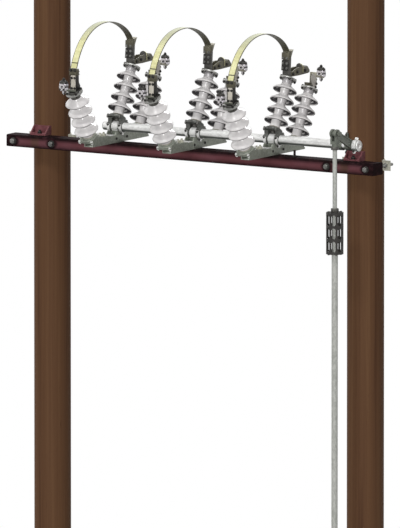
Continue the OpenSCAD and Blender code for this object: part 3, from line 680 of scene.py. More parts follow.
def givePhases(part, name, look, replaced=None):
    # one design, made in the plane x = 0, becomes a piece on each phase
    for i in phases:
        twin = copyTo(part, at(phaseX[i]), f"{name}_{i}")
        give(twin, f"{name}_{i}", look, replaced and f"{replaced}_{i}")
    remove(part)


strip = {
    "thick": 0.005, "leaves": 5, "gap": 0.0001, "stagger": 0.0012, "steps": 72, "bracket": 0.155,
    "bar": 0.186, "endBack": 0.0286, "arch": 0.396, "startLift": (0.36, 1), "endLift": (-0.24, 0.41),
    "bandAt": (0.03, 0.955), "bandHalf": 0.003, "bandHeight": 0.0012,
}
rise = strip["thick"] / 3
stripStart = capTop["front"] + Vector((0, strip["bracket"] + rise))
stripEnd = capTop["moving"] + Vector((-strip["endBack"], strip["bar"] + rise))
archPoints = [
    stripStart,
    stripStart + Vector(strip["startLift"]) * strip["arch"],
    stripEnd + Vector(strip["endLift"]) * strip["arch"],
    stripEnd,
]


def archAt(t, out):
    # a point of the arch, moved out from its middle line
    a, b, c, d = archPoints
    point = (1 - t) ** 3 * a + 3 * (1 - t) ** 2 * t * b + 3 * (1 - t) * t * t * c + t ** 3 * d
    run = (1 - t) ** 2 * (b - a) + 2 * (1 - t) * t * (c - b) + t * t * (d - c)
    run.normalize()
    return point + Vector((-run.y, run.x)) * out


def leafPiece(start, end, out, thick, width, steps):
    # a flat band along a part of the arch, in the middle plane x = 0
    points = [archAt(start + (end - start) * k / steps, out) for k in range(steps + 1)]
    piece = drawn([(-width / 2, *point) for point in points])
    extrude((width, 0, 0))
    leaveEdit()
    modify(piece, "SOLIDIFY", thickness=thick, offset=0)
    enterEdit()
    bpy.ops.mesh.normals_make_consistent(inside=False)
    leaveEdit()
    return smooth(piece, 50)


def stripLeaf(k):
    # the leaves are counted from the innermost, and every second one is a little narrower
    leafThick = strip["thick"] / strip["leaves"]
    out, width = (k - (strip["leaves"] - 1) / 2) * leafThick, stripWidth - (k % 2) * strip["stagger"]
    return leafPiece(0, 1, out, leafThick - strip["gap"], width, strip["steps"])


def stripBand(t):
    # a thin clip round all the leaves
    height, half = strip["bandHeight"], strip["bandHalf"]
    return leafPiece(t - half, t + half, 0, strip["thick"] + height, stripWidth + height, 2)


# the outer leaves are pale; the innermost leaf is dull, as painted shade on the inner side of the arch, and the
# bands are dull too
stripParts = (
    (join([stripLeaf(k) for k in range(1, strip["leaves"])]), "strip_leaves", "strip_metal"),
    (stripLeaf(0), "strip_lining", "lining"),
    (join([stripBand(t) for t in strip["bandAt"]]), "strip_bands", "lining"),
)
for part, name, look in stripParts:
    dress(part, looks[look])
    for i in phases:
        twin = copyTo(part, at(phaseX[i]), f"{name}_{i}")
        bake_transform(twin)
        if name == "strip_leaves":
            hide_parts(f"flexible_strip_{i}")
    remove(part)
print("flexible strips")


def aimed(point, direction):
    # the matrix that takes a piece made on z = 0 to a point, with its axis along a direction
    return at(*point) @ Vector(direction).to_track_quat("Z", "Y").to_matrix().to_4x4()


def plateAt(base, outline, width, middle=0, edge=0.0008):
    # a plate whose outline is measured from a (y, z) point
    return plate([(base.x + y, base.y + z) for y, z in outline], width, middle, edge)


def bolted(master, base, xs, spots, way=0):
    # bolts or nuts that face the front (-1) or the back (1), or else away from the middle plane
    return setOf(master, [
        aimed((x, base[0] + y, base[1] + z), (0, way, 0) if way else (x, 0, 0)) for x in xs for y, z in spots
    ])


def both(x):
    return -x, x


fastener = {"sizes": (0.008, 0.010, 0.016), "washer": 1.15, "rise": 0.002, "head": 0.65, "tail": 0.5}


def onWasher(nut, size):
    # a nut or a head, with the washer under it on the seat z = 0
    washer = turned(box((0, 0), (fastener["washer"] * size, fastener["rise"])), 24, 0.0004)
    return [settle(nut, at(z=fastener["rise"])), washer]


def head(size):
    return join(onWasher(hexNut(size, fastener["head"]), size))


def capNut(size, tail):
    # the bolt's end stands out of the nut
    return join(onWasher(hexNut(size), size) + [settle(threads(size, tail), at(z=fastener["tail"] * size))])


smallHead, middleHead = (head(size) for size in fastener["sizes"][:2])
smallNut, middleNut, largeNut = (capNut(size, size) for size in fastener["sizes"])
masters = [smallHead, middleHead, smallNut, middleNut, largeNut]


cap = {
    "skirt": 0.026, "neck": 0.034, "hub": 0.030, "hubFrom": 0.009, "ringIn": 0.043, "ringFrom": 0.011,
    "ringTo": 0.0215, "spokeWide": 0.017, "boss": 0.0085, "boltCircle": 0.0505, "turns": (45, 135, 225, 315),
}


def capCollar():
    # the collar round the porcelain's neck, with the hub on it
    top, neck, hub, skirt = switch["cap"], cap["neck"], cap["hub"], -cap["skirt"]
    piece = turned([
        (switch["trunk"] - 0.001, skirt), (neck - 0.002, skirt), (neck, 0.003 + skirt), (neck, 0.003),
        (hub + 0.002, cap["hubFrom"]), (hub, top - 0.003), (hub - 0.003, top), (0, top),
    ], 48, 0.0006)
    return settle(piece, at(z=switch["porcelain"]))


def flangeRing():
    inner = (cap["ringIn"], cap["ringFrom"])
    piece = turned(box(inner, (switch["capRadius"], cap["ringTo"])) + [inner], 64, 0.0012)
    return settle(piece, at(z=switch["porcelain"]))


def spokes():
    # tapered arms from the hub to the ring, each with a round boss for its bolt
    low, top, inner = switch["porcelain"] + cap["hubFrom"], insulatorTop, cap["hub"] - 0.004
    arm = plate([
        (inner, low), (cap["ringIn"] + 0.002, low + 0.004), (cap["boltCircle"], top - 0.002),
        (inner, top - 0.0005),
    ], cap["spokeWide"], 0, 0.0015)
    boss = turned(box((0, low + 0.006), (cap["boss"], top)), 24, 0.001)
    spoke = join([arm, settle(boss, at(y=cap["boltCircle"]))])
    whole = setOf(spoke, [spun(turn) for turn in cap["turns"]])
    remove(spoke)
    return whole


def capBolts():
    # heads on the spokes, and nuts that hang under the ring
    places = [spun(turn) @ at(y=cap["boltCircle"]) for turn in cap["turns"]]
    down = at(z=switch["porcelain"] + cap["ringFrom"]) @ spun(180, "X")
    heads = setOf(smallHead, [place @ at(z=insulatorTop) for place in places])
    return join([heads, setOf(smallNut, [place @ down for place in places])])


for side, node in replacedNode.items():
    stand = bottom[side]
    # the same collar is dark, painted shade, on the front insulators and light, painted light, on the others
    neck = "neck_shaded" if side == "front" else "neck_lit"
    givePhases(settle(capCollar(), stand), f"{side}_cap", neck, replaced=node)
    givePhases(settle(flangeRing(), stand), f"{side}_flange", "flange")
    givePhases(settle(spokes(), stand), f"{side}_spokes", "dark")
    givePhases(settle(capBolts(), stand), f"{side}_cap_bolts", "black")
print("insulator caps")


clamp = {  # sizes are radii and lengths, or heights from the bore's axis
    "front": Vector((-0.12508, 0.04307)), "rear": Vector((0.14632, 0.08083)), "bore": 0.009, "core": 0.0225,
    "length": 0.050, "lobe": 0.0124, "lobeAt": 0.0200, "lobeLength": 0.041, "headX": 0.0141,
    "headSink": 0.0006, "keeper": 0.031, "keeperDeep": 0.024, "keeperFrom": 0.022, "keeperTo": 0.047,
    "studTo": 0.0607, "tail": 0.0115, "tailFrom": 0.026, "tailTo": 0.047, "tip": 0.005, "tipLong": 0.006,
    "lobeForm": [
        (0, -0.5), (0.62, -0.5), (0.9, -0.44), (1, -0.3), (1, 0.3), (0.9, 0.44), (0.62, 0.5), (0, 0.5),
    ],
}


def lineClamp(side):
    # four light lobes round a bored core, with a black domed nut on top and a short stub below
    place, half = capTop[side] + clamp[side], clamp["length"] / 2
    middle = at(0, *place)
    lay = aimed((0, *place), (0, 1, 0))
    core = turned(box((clamp["bore"], -half), (clamp["core"], half)) + [(clamp["bore"], -half)], 32, 0.001)
    settle(core, lay)
    lobe = turned(clamp["lobeForm"], 20)
    settle(lobe, Matrix.Diagonal((clamp["lobe"], clamp["lobe"], clamp["lobeLength"], 1)))
    lobes = setOf(lobe, [lay @ at(x, y) for x, y in arcPoints(clamp["lobeAt"], 45, 315, 3)])
    remove(lobe)
    low, high, wide = clamp["keeperFrom"], clamp["keeperTo"], clamp["keeper"]
    keeper = turned([
        (0, low), (wide, low), (wide, low + 0.008), (0.92 * wide, low + 0.014), (0.74 * wide, high - 0.006),
        (0.46 * wide, high - 0.001), (0.3 * wide, high), (0, high),
    ], 32, 0.0008)
    settle(keeper, Matrix.Diagonal((1, clamp["keeperDeep"] / wide, 1, 1)))
    size = fastener["sizes"][1]
    nut = join([keeper, settle(capNut(size, clamp["studTo"] - high - size / 2), at(z=high))])
    tail, tailFrom, tailTo, tip = clamp["tail"], -clamp["tailFrom"], -clamp["tailTo"], clamp["tip"]
    end = tailTo - clamp["tipLong"]
    stub = turned([
        (0, tailFrom), (tail, tailFrom), (tail, 0.003 + tailTo), (tail - 0.003, tailTo),
        (0.001 + tip, tailTo), (tip, end), (0, end),
    ], 24, 0.0006)
    out, down = clamp["lobeLength"] / 2 - clamp["headSink"], -clamp["lobeAt"] * math.sin(math.pi / 4)
    heads = [bolted(smallHead, place, both(clamp["headX"]), [(way * out, down)], way) for way in (-1, 1)]
    givePhases(lobes, f"{side}_line_lobes", "lobe")
    givePhases(join([core, settle(stub, middle)]), f"{side}_line_core", "core")
    givePhases(join([settle(nut, middle)] + heads), f"{side}_line_nuts", "black")


terminal = {  # (y, z) outlines and bolts from the middle of the cap's top, which is the origin
    "panel": box((-0.008, -0.008), (0, 0.111)),
    "cheek": [
        (-0.010, -0.006), (0.042, 0.014), (0.042, 0.036), (0.026, 0.060), (0.024, 0.107), (0.024, 0.111),
        (-0.010, 0.111),
    ],
    "block": [
        (-0.006, 0.110), (0.026, 0.110), (0.026, 0.121), (0.022, 0.123), (0.022, 0.145), (0.018, 0.153),
        (-0.002, 0.153),
    ],
    "jaw": [(-0.013, 0.114), (-0.0065, 0.114), (-0.004, 0.156), (-0.010, 0.156)],
    "ledges": (box((-0.015, 0.110), (0.028, 0.113)), box((-0.015, 0.130), (0.028, 0.133))),
    "panelIn": 0.012, "blockOver": 0.006, "ledgeOver": 0.010, "cheekThick": 0.006, "barThick": 0.011,
    "barEnd": Vector((0, -0.020)), "boltX": 0.016, "panelBoltX": 0.011, "heads": [(-0.012, 0.143)],
    "nuts": [(0.022, 0.133)], "panelHeads": [(-0.008, 0.02), (-0.008, 0.09)],
}
soles = {  # half the length, the width and the thickness
    "front": (0.024, 0.044, 0.007), "rear": (0.037, 0.046, 0.009), "moving": (0.037, 0.046, 0.009),
}


def soleOn(side):
    # a plate on the middle of a cap
    half, width, thick = soles[side]
    outline = box((-half, insulatorTop), (half, insulatorTop + thick))
    return settle(plate(outline, width, 0, 0.0015), bottom[side])


def frontTerminal():
    base, width, thick = capTop["front"], stripWidth, terminal["cheekThick"]
    panel = plateAt(base, terminal["panel"], width - terminal["panelIn"])
    cheeks = [plateAt(base, terminal["cheek"], thick, x) for x in both((width - thick) / 2)]
    block = plateAt(base, terminal["block"], width + terminal["blockOver"], 0, 0.0015)
    jaw = plateAt(base, terminal["jaw"], width + terminal["blockOver"], 0, 0.001)
    over = width + terminal["ledgeOver"]
    ledges = [plateAt(base, ledge, over, 0, 0.0006) for ledge in terminal["ledges"]]
    bar = barBetween(base, base + clamp["front"] + terminal["barEnd"], width, terminal["barThick"], 0.0015)
    heads = bolted(middleHead, base, both(terminal["boltX"]), terminal["heads"], -1)
    nuts = bolted(middleNut, base, both(terminal["boltX"]), terminal["nuts"], 1)
    panelHeads = bolted(smallHead, base, both(terminal["panelBoltX"]), terminal["panelHeads"], -1)
    givePhases(panel, "front_panel", "cream")
    givePhases(bar, "front_bar", "green")
    givePhases(join(cheeks + [soleOn("front")]), "front_cheeks", "black")
    givePhases(join([block, jaw] + ledges), "front_strip_clamp", "contact_metal")
    givePhases(join([heads, nuts, panelHeads]), "front_clamp_bolts", "black")


frontTerminal()
lineClamp("front")
print("front terminals")


contact = {  # the guide's outline is in widths of the cap, and the rest in metres from the cap's top
    "guide": [
        (0.07, -0.08), (0.27, -0.19), (0.33, 0.12), (0.35, 0.34), (0.32, 0.53), (0.22, 0.69), (0.05, 0.8),
        (-0.07, 0.83), (-0.19, 0.8), (-0.26, 0.72), (-0.3, 0.56), (-0.26, 0.39), (-0.12, 0.2),
    ],
    "guideThick": 0.0055, "guideMiddle": 0.0031, "guideFace": 0.0058,
    "guideBolts": [(0.024, 0.004), (0.034, 0.026)],
    "uprightFrom": Vector((0.0354, -0.0236)), "uprightTo": Vector((0.0484, 0.1015)), "uprightThick": 0.010,
    "barFrom": Vector((0.0484, 0.0775)), "barEnd": Vector((0, -0.0238)), "barThick": 0.011,
    "ledge": box((0.040, 0.0985), (0.058, 0.1015)), "boltX": 0.014,
    "pad": [(-0.030, 0.004), (-0.018, 0.000), (-0.018, 0.036), (-0.034, 0.042)],
    "bolts": [(0.05062, 0.030), (0.052908, 0.052)], "padIn": 0.006,
}


def rearContact():
    base, width, across = capTop["rear"], stripWidth, 2 * switch["capRadius"]
    outline = [(across * y, across * z) for y, z in looped(contact["guide"], 3)]
    guide = plateAt(base, outline, contact["guideThick"], width / 2 + contact["guideMiddle"], 0.001)
    start, end = base + contact["uprightFrom"], base + contact["uprightTo"]
    upright = barBetween(start, end, width, contact["uprightThick"], 0.0012)
    start, end = base + contact["barFrom"], base + clamp["rear"] + contact["barEnd"]
    bar = barBetween(start, end, width, contact["barThick"], 0.0012)
    ledge = plateAt(base, contact["ledge"], width)
    pad = plateAt(base, contact["pad"], width - contact["padIn"], 0, 0.0015)
    heads = bolted(middleHead, base, both(contact["boltX"]), contact["bolts"], 1)
    guideHeads = bolted(smallHead, base, [width / 2 + contact["guideFace"]], contact["guideBolts"])
    givePhases(guide, "rear_guide", "guide")
    givePhases(join([upright, bar, ledge]), "rear_bracket", "olive")
    givePhases(join([soleOn("rear"), pad]), "rear_pad", "contact_metal")
    givePhases(join([heads, guideHeads]), "rear_bolts", "black")


rearContact()
lineClamp("rear")
print("rear contacts")


moving = {  # from the middle of the cap's top; a bar has its start, its end, and its thickness
    "postFrom": Vector((-0.0242, 0.008)), "postTo": Vector((-0.0154, strip["bar"])), "postThick": 0.022,
    "postShort": Vector((0, -0.045)), "over": 0.004, "headOut": -0.0245, "nutOut": 0.011,
    "boltRows": (0.070, 0.104, 0.138), "nutRows": (0.055, 0.080, 0.105, 0.130), "boltX": 0.0155,
    "blockNuts": [(-0.0054, strip["bar"] - 0.022)], "sideX": 0.0242,
    "sideHeads": [(0.022, 0.026), (0.075, 0.034), (0.175, 0.034)],
    "block": ((-0.002, -0.047), (0, 0), 0.020), "front": ((-0.0205, 0.0465), (-0.0215, -0.062), 0.008),
    "cover": ((-0.0222, -0.058), (-0.0200, -0.010), 0.010), "lip": ((0.0055, -0.005), (0.0396, 0.005), 0.004),
    "web": [(0.0100, -0.046), (0.0105, -0.004), (0.0370, 0.003)], "webX": 0.0245, "webThick": 0.003,
    "cheek": [
        (-0.022, 0.0096), (0.0948, 0.008), (0.2133, 0.012), (0.233, 0.0176), (0.233, 0.032),
        (0.206, 0.0608), (0.0806, 0.064), (0.0237, 0.0448), (-0.022, 0.040),
    ],
    "cheekX": 0.0205, "cheekThick": 0.0075, "tongueWide": 0.030, "noseWide": 0.043,
    "tongue": [(0.0806, 0.0136), (0.237, 0.020), (0.237, 0.0336), (0.0806, 0.048)],
    "nose": [(0.196, 0.0135), (0.2345, 0.0185), (0.2345, 0.0345), (0.204, 0.0635), (0.196, 0.0635)],
    "bladeAt": 0.1422, "bladeRadius": 0.027, "bladeTop": 0.085, "stem": 0.034,
    "bladeFront": (-0.0021, 0.0038), "bladeBack": (0.0020, 0.0040),
}


def bladeHalf(depth, thick):
    # half the thickness of the round-topped blade, with the stem below it
    radius = moving["bladeRadius"]
    middle = capTop["moving"] + Vector((moving["bladeAt"] + depth, moving["bladeTop"] - radius))
    stem = [(-radius, -moving["stem"]), (radius, -moving["stem"])]
    flat = plate(arcPoints(radius, 0, 180, 24) + stem, thick)
    # the plate was drawn in (y, z) across X, and is turned to face front and back
    return settle(flat, at(0, *middle) @ spun(90))


def movingContact():
    base, wide = capTop["moving"], stripWidth + moving["over"]
    foot, top = base + moving["postFrom"], base + moving["postTo"]
    slope = (top.x - foot.x) / (top.y - foot.y)

    def bar(start, key, width, edge):
        low, high, thick = moving[key]
        return barBetween(start + Vector(low), top + Vector(high), width, thick, edge)

    def onPost(rows, out):
        # spots at these heights, moved out from the leaning post's middle to its front or back
        return [(moving["postFrom"].x + slope * z + out, z) for z in rows]

    post = barBetween(foot, top + moving["postShort"], wide, moving["postThick"], 0.0015)
    block, front = bar(top, "block", wide + 0.002, 0.0015), bar(foot, "front", wide, 0.001)
    cover, lip = bar(top, "cover", wide + 0.002, 0.001), bar(top, "lip", wide, 0.0008)
    webs = [plateAt(top, moving["web"], moving["webThick"], x, 0.0004) for x in both(moving["webX"])]
    outline, thick = moving["cheek"], moving["cheekThick"]
    cheeks = [plateAt(base, outline, thick, x, 0.0012) for x in both(moving["cheekX"])]
    tongue = plateAt(base, moving["tongue"], moving["tongueWide"], 0, 0.002)
    nose = plateAt(base, moving["nose"], moving["noseWide"], 0, 0.0015)
    xs = both(moving["boltX"])
    heads = bolted(smallHead, base, xs, onPost(moving["boltRows"], moving["headOut"]), -1)
    nuts = bolted(smallNut, base, [0], onPost(moving["nutRows"], moving["nutOut"]), 1)
    blockNuts = bolted(smallNut, base, xs, moving["blockNuts"], 1)
    sideHeads = bolted(middleHead, base, both(moving["sideX"]), moving["sideHeads"])
    givePhases(join([post, soleOn("moving")]), "moving_post", "dark")
    givePhases(front, "moving_front_plate", "black")
    givePhases(join([cover, block]), "moving_strip_clamp", "contact_metal")
    givePhases(join([lip] + webs), "moving_lip", "olive")
    givePhases(join(cheeks + [tongue]), "moving_jaws", "contact_metal")
    givePhases(nose, "moving_nose", "dark")
    givePhases(bladeHalf(*moving["bladeFront"]), "moving_blade_front", "dark")
    givePhases(bladeHalf(*moving["bladeBack"]), "moving_blade_back", "blade")
    givePhases(heads, "moving_bolts", "bolt_steel")
    givePhases(join([nuts, blockNuts, sideHeads]), "moving_nuts", "black")


movingContact()
print("moving contacts")


seat = {"boltAt": 0.047, "neck": 1.27 * switch["trunk"]}


def seatBolts():
    # four bolts through the seat's corners, with nuts that hang below it
    spots = [(x, y) for x in both(seat["boltAt"]) for y in both(seat["boltAt"])]
    tops = setOf(smallHead, [at(x, y) for x, y in spots])
    return join([tops, setOf(smallNut, [at(x, y, -switch["seat"]) @ spun(180, "X") for x, y in spots])])


def cementRing():
    # the ring of cement that shows where the porcelain enters its foot
    foot, radius = switch["foot"], seat["neck"]
    return turned([
        (radius - 0.002, foot - 0.001), (radius + 0.0025, foot - 0.001), (radius + 0.0015, foot + 0.0025),
        (radius - 0.002, foot + 0.004),
    ], 48)


for side, stand in bottom.items():
    look = "bright" if side == "front" else "dark"
    givePhases(settle(seatBolts(), stand), f"{side}_seat_bolts", look)
    givePhases(settle(cementRing(), stand), f"{side}_cement", "cement")
print("seats")


def onShaft(parts):
    # pieces made round the X axis are joined and go to the shaft's axis
    return settle(join(parts), at(0, shaftAxis.y, shaftAxis.z))


band = {  # the inner and outer radius, the width, that of the ears, and the angles of both halves
    "rocker": (0.0372, 0.0412, 0.0195, 0.0195, ((151, 251), (259, 331))),
    "crank": (0.0361, 0.0402, 0.030, 0.018, ((84, 231), (239, 436))),
    "lugOut": 0.0560, "lug": 0.004, "boltAt": 0.0475, "fromEnd": 3,
}


def bands(kind, middle):
    # two bands round the axis, with 180 degrees to the front and 90 up, and an ear at each end of both
    inner, outer, wide, earWide, halves = band[kind]
    root, tip, half, parts = inner + 0.001, band["lugOut"], band["lug"] / 2, []
    ear = [(root, -half), (tip - 0.003, -half), (tip, 0), (tip - 0.003, half), (root, half)]
    for start, end in halves:
        steps = max(6, round((end - start) / 6))
        outline = arcPoints(outer, start, end, steps) + arcPoints(inner, end, start, steps)
        parts.append(plate(outline, wide, middle))
        for angle in (start + band["fromEnd"], end - band["fromEnd"]):
            parts.append(settle(plate(ear, earWide, middle, 0.0006), spun(angle, "X")))
    return parts


def lugBolt(angle, middle, gap):
    # a bolt through the ears at an angle, with its head on the side of the smaller angles
    turn = math.radians(angle)
    spot = Vector((middle, band["boltAt"] * math.cos(turn), band["boltAt"] * math.sin(turn)))
    way = Vector((0, -math.sin(turn), math.cos(turn)))
    return [copyTo(smallHead, aimed(spot - way * gap, -way)), copyTo(smallNut, aimed(spot + way * gap, way))]


rocker = {
    "clampX": 0.0468, "joint": 255, "jointGap": 0.006, "top": 154, "topGap": 0.002, "bolt": 0.020,
    "boss": 0.022,
}
straps, bolts = [], []
for x in both(rocker["clampX"]):
    straps += bands("rocker", x)
    bolts += lugBolt(rocker["joint"], x, rocker["jointGap"]) + lugBolt(rocker["top"], x, rocker["topGap"])
givePhases(onShaft(straps), "rocker_straps", "bright")
givePhases(onShaft(bolts), "rocker_strap_bolts", "black")
# the round washer and the large bolt under the middle of the moving seat
radius = rocker["boss"]
washer = turned([(0, 0), (radius, 0), (radius, 0.004), (radius - 0.003, 0.006), (0, 0.006)], 32, 0.0006)
boss = join([washer, settle(hexNut(rocker["bolt"], 0.35), at(z=0.005))])
settle(boss, bottom["moving"] @ at(z=-switch["seat"]) @ spun(180, "X"))
givePhases(boss, "rocker_boss", "dark")

hub = {"x": 0.027, "top": 80, "low": 235, "gap": 0.0065, "cap": 0.0385, "bore": 0.0258, "tube": 0.030}
hubX = crankPin.x + hub["x"]
give(onShaft(bands("crank", hubX)), "crank_strap", "shaft_steel")
give(onShaft(lugBolt(hub["top"], hubX, hub["gap"])), "crank_strap_top_bolt", "shaft_steel")
give(onShaft(lugBolt(hub["low"], hubX, hub["gap"])), "crank_strap_low_bolt", "black")
shaftLow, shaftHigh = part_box("rocking_shaft")
plug = [(0, -0.012), (hub["bore"], -0.012), (hub["bore"], 0.0002)]
endCap = turned(plug + [
    (hub["cap"], 0.0002), (hub["cap"], 0.006), (hub["cap"] - 0.002, 0.008), (0.014, 0.008), (0.012, 0.005),
    (0, 0.005),
], 48, 0.0005)
endPlug = turned(plug + [(hub["tube"], 0.0002), (hub["tube"] - 0.002, 0.004), (0, 0.005)], 48, 0.0005)
settle(endCap, aimed((shaftHigh.x, shaftAxis.y, shaftAxis.z), (1, 0, 0)))
settle(endPlug, aimed((shaftLow.x, shaftAxis.y, shaftAxis.z), (-1, 0, 0)))
give(endCap, "shaft_end_cap", "shaft_steel")
give(endPlug, "shaft_end_plug", "dark")
print("shaft, rockers and crank")


def poleStuds(name, poleX):
    # threaded studs draw the strap's ears towards the crossarm, with nuts at both sides of each ear
    size, front, tall = stud["size"], armLow.y - stud["washer"], stud["nut"] * stud["size"]
    earBack = stud["ear"] + stud["earThick"]
    start, end = front - stud["out"] * tall, earBack + tall + stud["tail"]
    shank, nut = threads(size, end - start - threadForm["chamfer"] * size), hexNut(size, stud["nut"])
    disc = turned(box((0, 0), (fastener["washer"] * size, stud["washer"])), 32, 0.0008)
    studs, washers = [], []
    for x in (poleX - stud["x"], poleX + stud["x"]):
        for y, way in ((front, -1), (stud["ear"], -1), (earBack, 1)):
            studs.append(copyTo(nut, aimed((x, y, armMiddle.z), (0, way, 0))))
        studs.append(copyTo(shank, aimed((x, start, armMiddle.z), (0, 1, 0))))
        washers.append(copyTo(disc, aimed((x, armLow.y + stud["sink"], armMiddle.z), (0, -1, 0))))
    remove(shank, nut, disc)
    give(join(studs), f"{name}_studs_and_nuts", "bolt_steel", f"{name}_studs")
    give(join(washers), f"{name}_stud_washers", "black")


for name, poleX in poles.items():
    poleStuds(name, poleX)

earth = {"fromPole": {"left": 0.423, "right": -0.423}, "y": -0.2242, "size": 0.0166, "tall": 0.047}
cleat = {"boltY": -0.158, "sole": 0.010, "lobeX": 0.043, "lobeY": -0.170, "lobe": 0.0145, "lobeTall": 0.005}
for name, poleX in poles.items():
    spot, top = at(poleX + earth["fromPole"][name], earth["y"], deck), deck + cleat["sole"]
    bolt = join([settle(threads(earth["size"], earth["tall"]), spot), settle(hexNut(earth["size"]), spot)])
    give(bolt, f"{name}_earth_bolt", "black")
    give(setOf(largeNut, [at(poleX, cleat["boltY"], top)]), f"{name}_cleat_bolt", "black")
    lobe = turned([
        (0, 0), (cleat["lobe"], 0), (cleat["lobe"], cleat["lobeTall"]),
        (cleat["lobe"] - 0.003, cleat["lobeTall"] + 0.002), (0, cleat["lobeTall"] + 0.002),
    ], 32, 0.001)
    lobes = setOf(lobe, [at(poleX + x, cleat["lobeY"], top - 0.0005) for x in both(cleat["lobeX"])])
    remove(lobe)
    give(lobes, f"{name}_cleat_lobes", "cleat_paint")
print("pole hardware")


base = {  # (y, z) places from the shaft's axis
    "half": 0.035, "doubler": 0.0023, "wall": -0.050, "clip": 0.005, "clipBolts": (-0.213, -0.168),
    "outline": [
        (-0.078, -0.101), (-0.078, -0.046), (-0.068, -0.030), *arcPoints(0.044, 222, 318, 16),
        (0.068, -0.030), (0.078, -0.046), (0.078, -0.101),
    ],
    "bolts": [(-0.066, -0.072), (0.066, -0.072)], "boltPlate": (-0.232, -0.144), "clipAt": (-0.141, -0.084),
}
# a second cheek outside each wall of the base, round the saddle, with a bolt on each side
middle = base["half"] + base["doubler"] / 2
doublers = [plate(base["outline"], base["doubler"], x, 0.0005) for x in both(middle)]
givePhases(onShaft(doublers), "base_doublers", "galvanised")
heads = bolted(smallHead, (0, 0), both(base["half"] + base["doubler"]), base["bolts"])
givePhases(onShaft([heads]), "base_doubler_bolts", "black")
# plates across the walls before the shaft, and two bolts that stand up through the first
low, high = base["wall"], base["wall"] + base["clip"]
for key, name, look in (("boltPlate", "base_bolt_plate", "galvanised"), ("clipAt", "base_clip", "bright")):
    start, end = base[key]
    flat = plate(box((start, low), (end, high)), 2 * base["half"] - 0.002, 0, 0.001)
    givePhases(onShaft([flat]), name, look)
bolts = setOf(largeNut, [at(0, y, high) for y in base["clipBolts"]])
givePhases(onShaft([bolts]), "base_clip_bolts", "strap")

pad = {"fromPole": -0.0895, "radius": 0.1352, "z": 0.059}
padOut = Vector((pad["fromPole"], -math.sqrt(pad["radius"] ** 2 - pad["fromPole"] ** 2), 0))
padMiddle = Vector((poles["right"], 0, shaftAxis.z)) + padOut
padHeads = setOf(middleHead, [aimed(padMiddle + Vector((0, 0, z)), padOut) for z in both(pad["z"])])
give(padHeads, "end_bearing_bolts", "dark")

rod = {"lockNut": 0.030, "boltCircle": 0.042}
grip = {"radius": 0.017, "collar": 0.0198, "wide": 0.008, "tall": 0.014}
cageLow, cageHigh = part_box("rod_cage")
gripLow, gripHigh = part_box("hand_grip")
cageTop = at(crankPin.x, crankPin.y, cageHigh.z)
cageBottom = at(crankPin.x, crankPin.y, cageLow.z) @ spun(180, "X")
clevisBottom = at(crankPin.x, crankPin.y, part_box("rod_clevis")[0].z) @ spun(180, "X")
lockNuts = [settle(hexNut(rod["lockNut"]), cageTop), settle(hexNut(rod["lockNut"], 0.6), clevisBottom)]
give(join(lockNuts), "rod_lock_nuts", "dark")
spots = [spun(turn) @ at(y=rod["boltCircle"]) for turn in cap["turns"]]
cagePlaces = [place @ spot for spot in spots for place in (cageTop, cageBottom)]
give(setOf(smallHead, cagePlaces), "cage_bolts", "dark")
gripEnd = turned([
    (0, -0.002), (grip["radius"], -0.002), (grip["collar"], 0.0), (grip["collar"], grip["wide"]),
    (grip["collar"] - 0.003, grip["wide"] + 0.004), (0, grip["tall"]),
], 32, 0.0008)
gripPlaces = [
    aimed((x - way * grip["tall"], crankPin.y, gripLow.z + grip["radius"]), (way, 0, 0))
    for x, way in ((gripLow.x, -1), (gripHigh.x, 1))
]
give(setOf(gripEnd, gripPlaces), "hand_grip_ends", "grip_black")
remove(gripEnd)

ear = {
    "from": 0.130, "to": 0.166, "thick": 0.008, "gap": 0.004, "margin": 0.004, "cut": 0.008, "boltAt": 0.151,
}
for name in ("low", "high"):
    low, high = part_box(f"{name}_rod_guide")
    start, end, cut, margin, thick = (ear[key] for key in ("from", "to", "cut", "margin", "thick"))
    under, over = low.z + margin, high.z - margin
    outline = [
        (start, under), (end - cut, under), (end, under + cut), (end, over - cut), (end - cut, over),
        (start, over),
    ]
    ears = [plate(outline, thick, poles["right"] + x, 0.001) for x in both((ear["gap"] + thick) / 2)]
    give(join(ears), f"{name}_guide_lugs", "galvanised")
    middle = Vector((poles["right"], ear["boltAt"], (low.z + high.z) / 2))
    out = Vector((ear["gap"] / 2 + thick, 0, 0))
    bolt = [copyTo(middleHead, aimed(middle - out, -out)), copyTo(middleNut, aimed(middle + out, out))]
    give(join(bolt), f"{name}_guide_bolt", "dark")
remove(*masters)
print("rod and bearings")


def toward(turn, height):
    # the direction to a place that lies at these degrees round from the front and up
    turn, height = math.radians(turn), math.radians(height)
    return Vector((math.sin(turn) * math.cos(height), -math.cos(turn) * math.cos(height), math.sin(height)))


def placed(name, data, direction):
    # a camera or a lamp that looks against the direction
    holder = bpy.data.objects.new(name, data)
    bpy.context.scene.collection.objects.link(holder)
    holder.rotation_euler = (-direction).to_track_quat("-Z", "Y").to_euler()
    return holder


camera = {  # the upper picture's parallel view, through a very long lens
    "azimuth": 32.25, "elevation": 7.85, "frameWidth": 2.699, "lens": 1200, "sensor": 36,
    "aimRight": -0.0551, "aimUp": -0.762, "aspect": 528 / 400,
}
back = toward(camera["azimuth"], camera["elevation"])
right = toward(camera["azimuth"] + 90, 0)
aim = armMiddle + right * camera["aimRight"] + back.cross(right) * camera["aimUp"]
distance = camera["lens"] / camera["sensor"] * camera["frameWidth"] * camera["aspect"]
cameraData = bpy.data.cameras.new("camera")
cameraData.lens, cameraData.sensor_width = camera["lens"], camera["sensor"]
cameraData.clip_start, cameraData.clip_end = 1, 3 * distance
eye = placed("camera", cameraData, back)
eye.location = aim + back * distance
bpy.context.scene.camera = eye

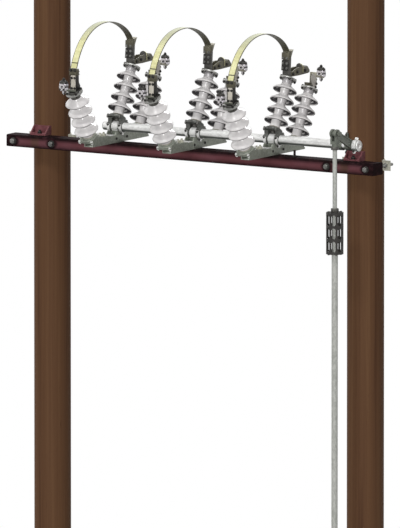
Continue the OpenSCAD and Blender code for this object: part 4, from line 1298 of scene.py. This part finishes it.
suns = {  # where each light comes from, its strength, how soft it is, and whether it casts shadows
    "key": (3, 47, 0.8, 12, True), "fill": (17, 30, 2.0, 8, False), "rear": (196, 34, 1.8, 12, True),
    "right": (95, 30, 0.45, 30, True), "left": (270, 30, 0.6, 30, True),
}
for name, (turn, height, strength, softness, shadow) in suns.items():
    lamp = bpy.data.lights.new(name, "SUN")
    lamp.energy, lamp.angle, lamp.use_shadow = strength, math.radians(softness), shadow
    placed(name, lamp, toward(turn, height))

backdrop = {
    "light": 0.08, "shown": 1.0, "floor": (226, 225, 222), "bounce": (82, 82, 80), "plainTo": 5.0,
    "fadeTo": 12.0, "radius": 14,
}


def seenShare(tree):
    # 1 where the camera, a reflection or clear glass looks at the backdrop
    path = tree.nodes.new("ShaderNodeLightPath")
    share = path.outputs["Is Camera Ray"]
    for ray in ("Is Glossy Ray", "Is Transmission Ray"):
        larger = tree.nodes.new("ShaderNodeMath")
        larger.operation = "MAXIMUM"
        tree.links.new(share, larger.inputs[0])
        tree.links.new(path.outputs[ray], larger.inputs[1])
        share = larger.outputs[0]
    return share


world = bpy.data.worlds.new("studio")
bpy.context.scene.world = world
world.use_nodes = True
tree = world.node_tree
sky, spread = tree.nodes["Background"], tree.nodes.new("ShaderNodeMapRange")
spread.inputs["To Min"].default_value = backdrop["light"]
spread.inputs["To Max"].default_value = backdrop["shown"]
tree.links.new(seenShare(tree), spread.inputs["Value"])
tree.links.new(spread.outputs["Result"], sky.inputs["Strength"])
sky.inputs["Color"].default_value = (1, 1, 1, 1)

# a plain pale floor that fades to white away from the poles
deselectAll()
bpy.ops.mesh.primitive_circle_add(vertices=96, radius=backdrop["radius"], fill_type="NGON")
floor = nameIt(settle(active(), at(armMiddle.x, 0, -0.002)), "floor")
ground = Surface("floor", 0.9, specular=0.1)
seen = seenShare(ground.material.node_tree)
ground.colour(ground.blend(seen, shade(*backdrop["bounce"]), backdrop["floor"]))
reach = ground.distance(ground.source.outputs["Object"], (armMiddle.x, 0, 0))
fade = ground.node(
    "MapRange", {"interpolation_type": "SMOOTHSTEP"}, Value=reach, From_Min=backdrop["plainTo"],
    From_Max=backdrop["fadeTo"])
mixed, white = ground.node("MixShader"), ground.node("Emission", Strength=1.0)
ground.put(ground.times(fade.outputs["Result"], seen), mixed.inputs[0])
ground.put(ground.shader.outputs[0], mixed.inputs[1])
ground.put(white.outputs[0], mixed.inputs[2])
ground.put(mixed.outputs[0], ground.nodes["Material Output"].inputs["Surface"])
dress(floor, ground.material)

bpy.context.scene.view_settings.view_transform = "Standard"
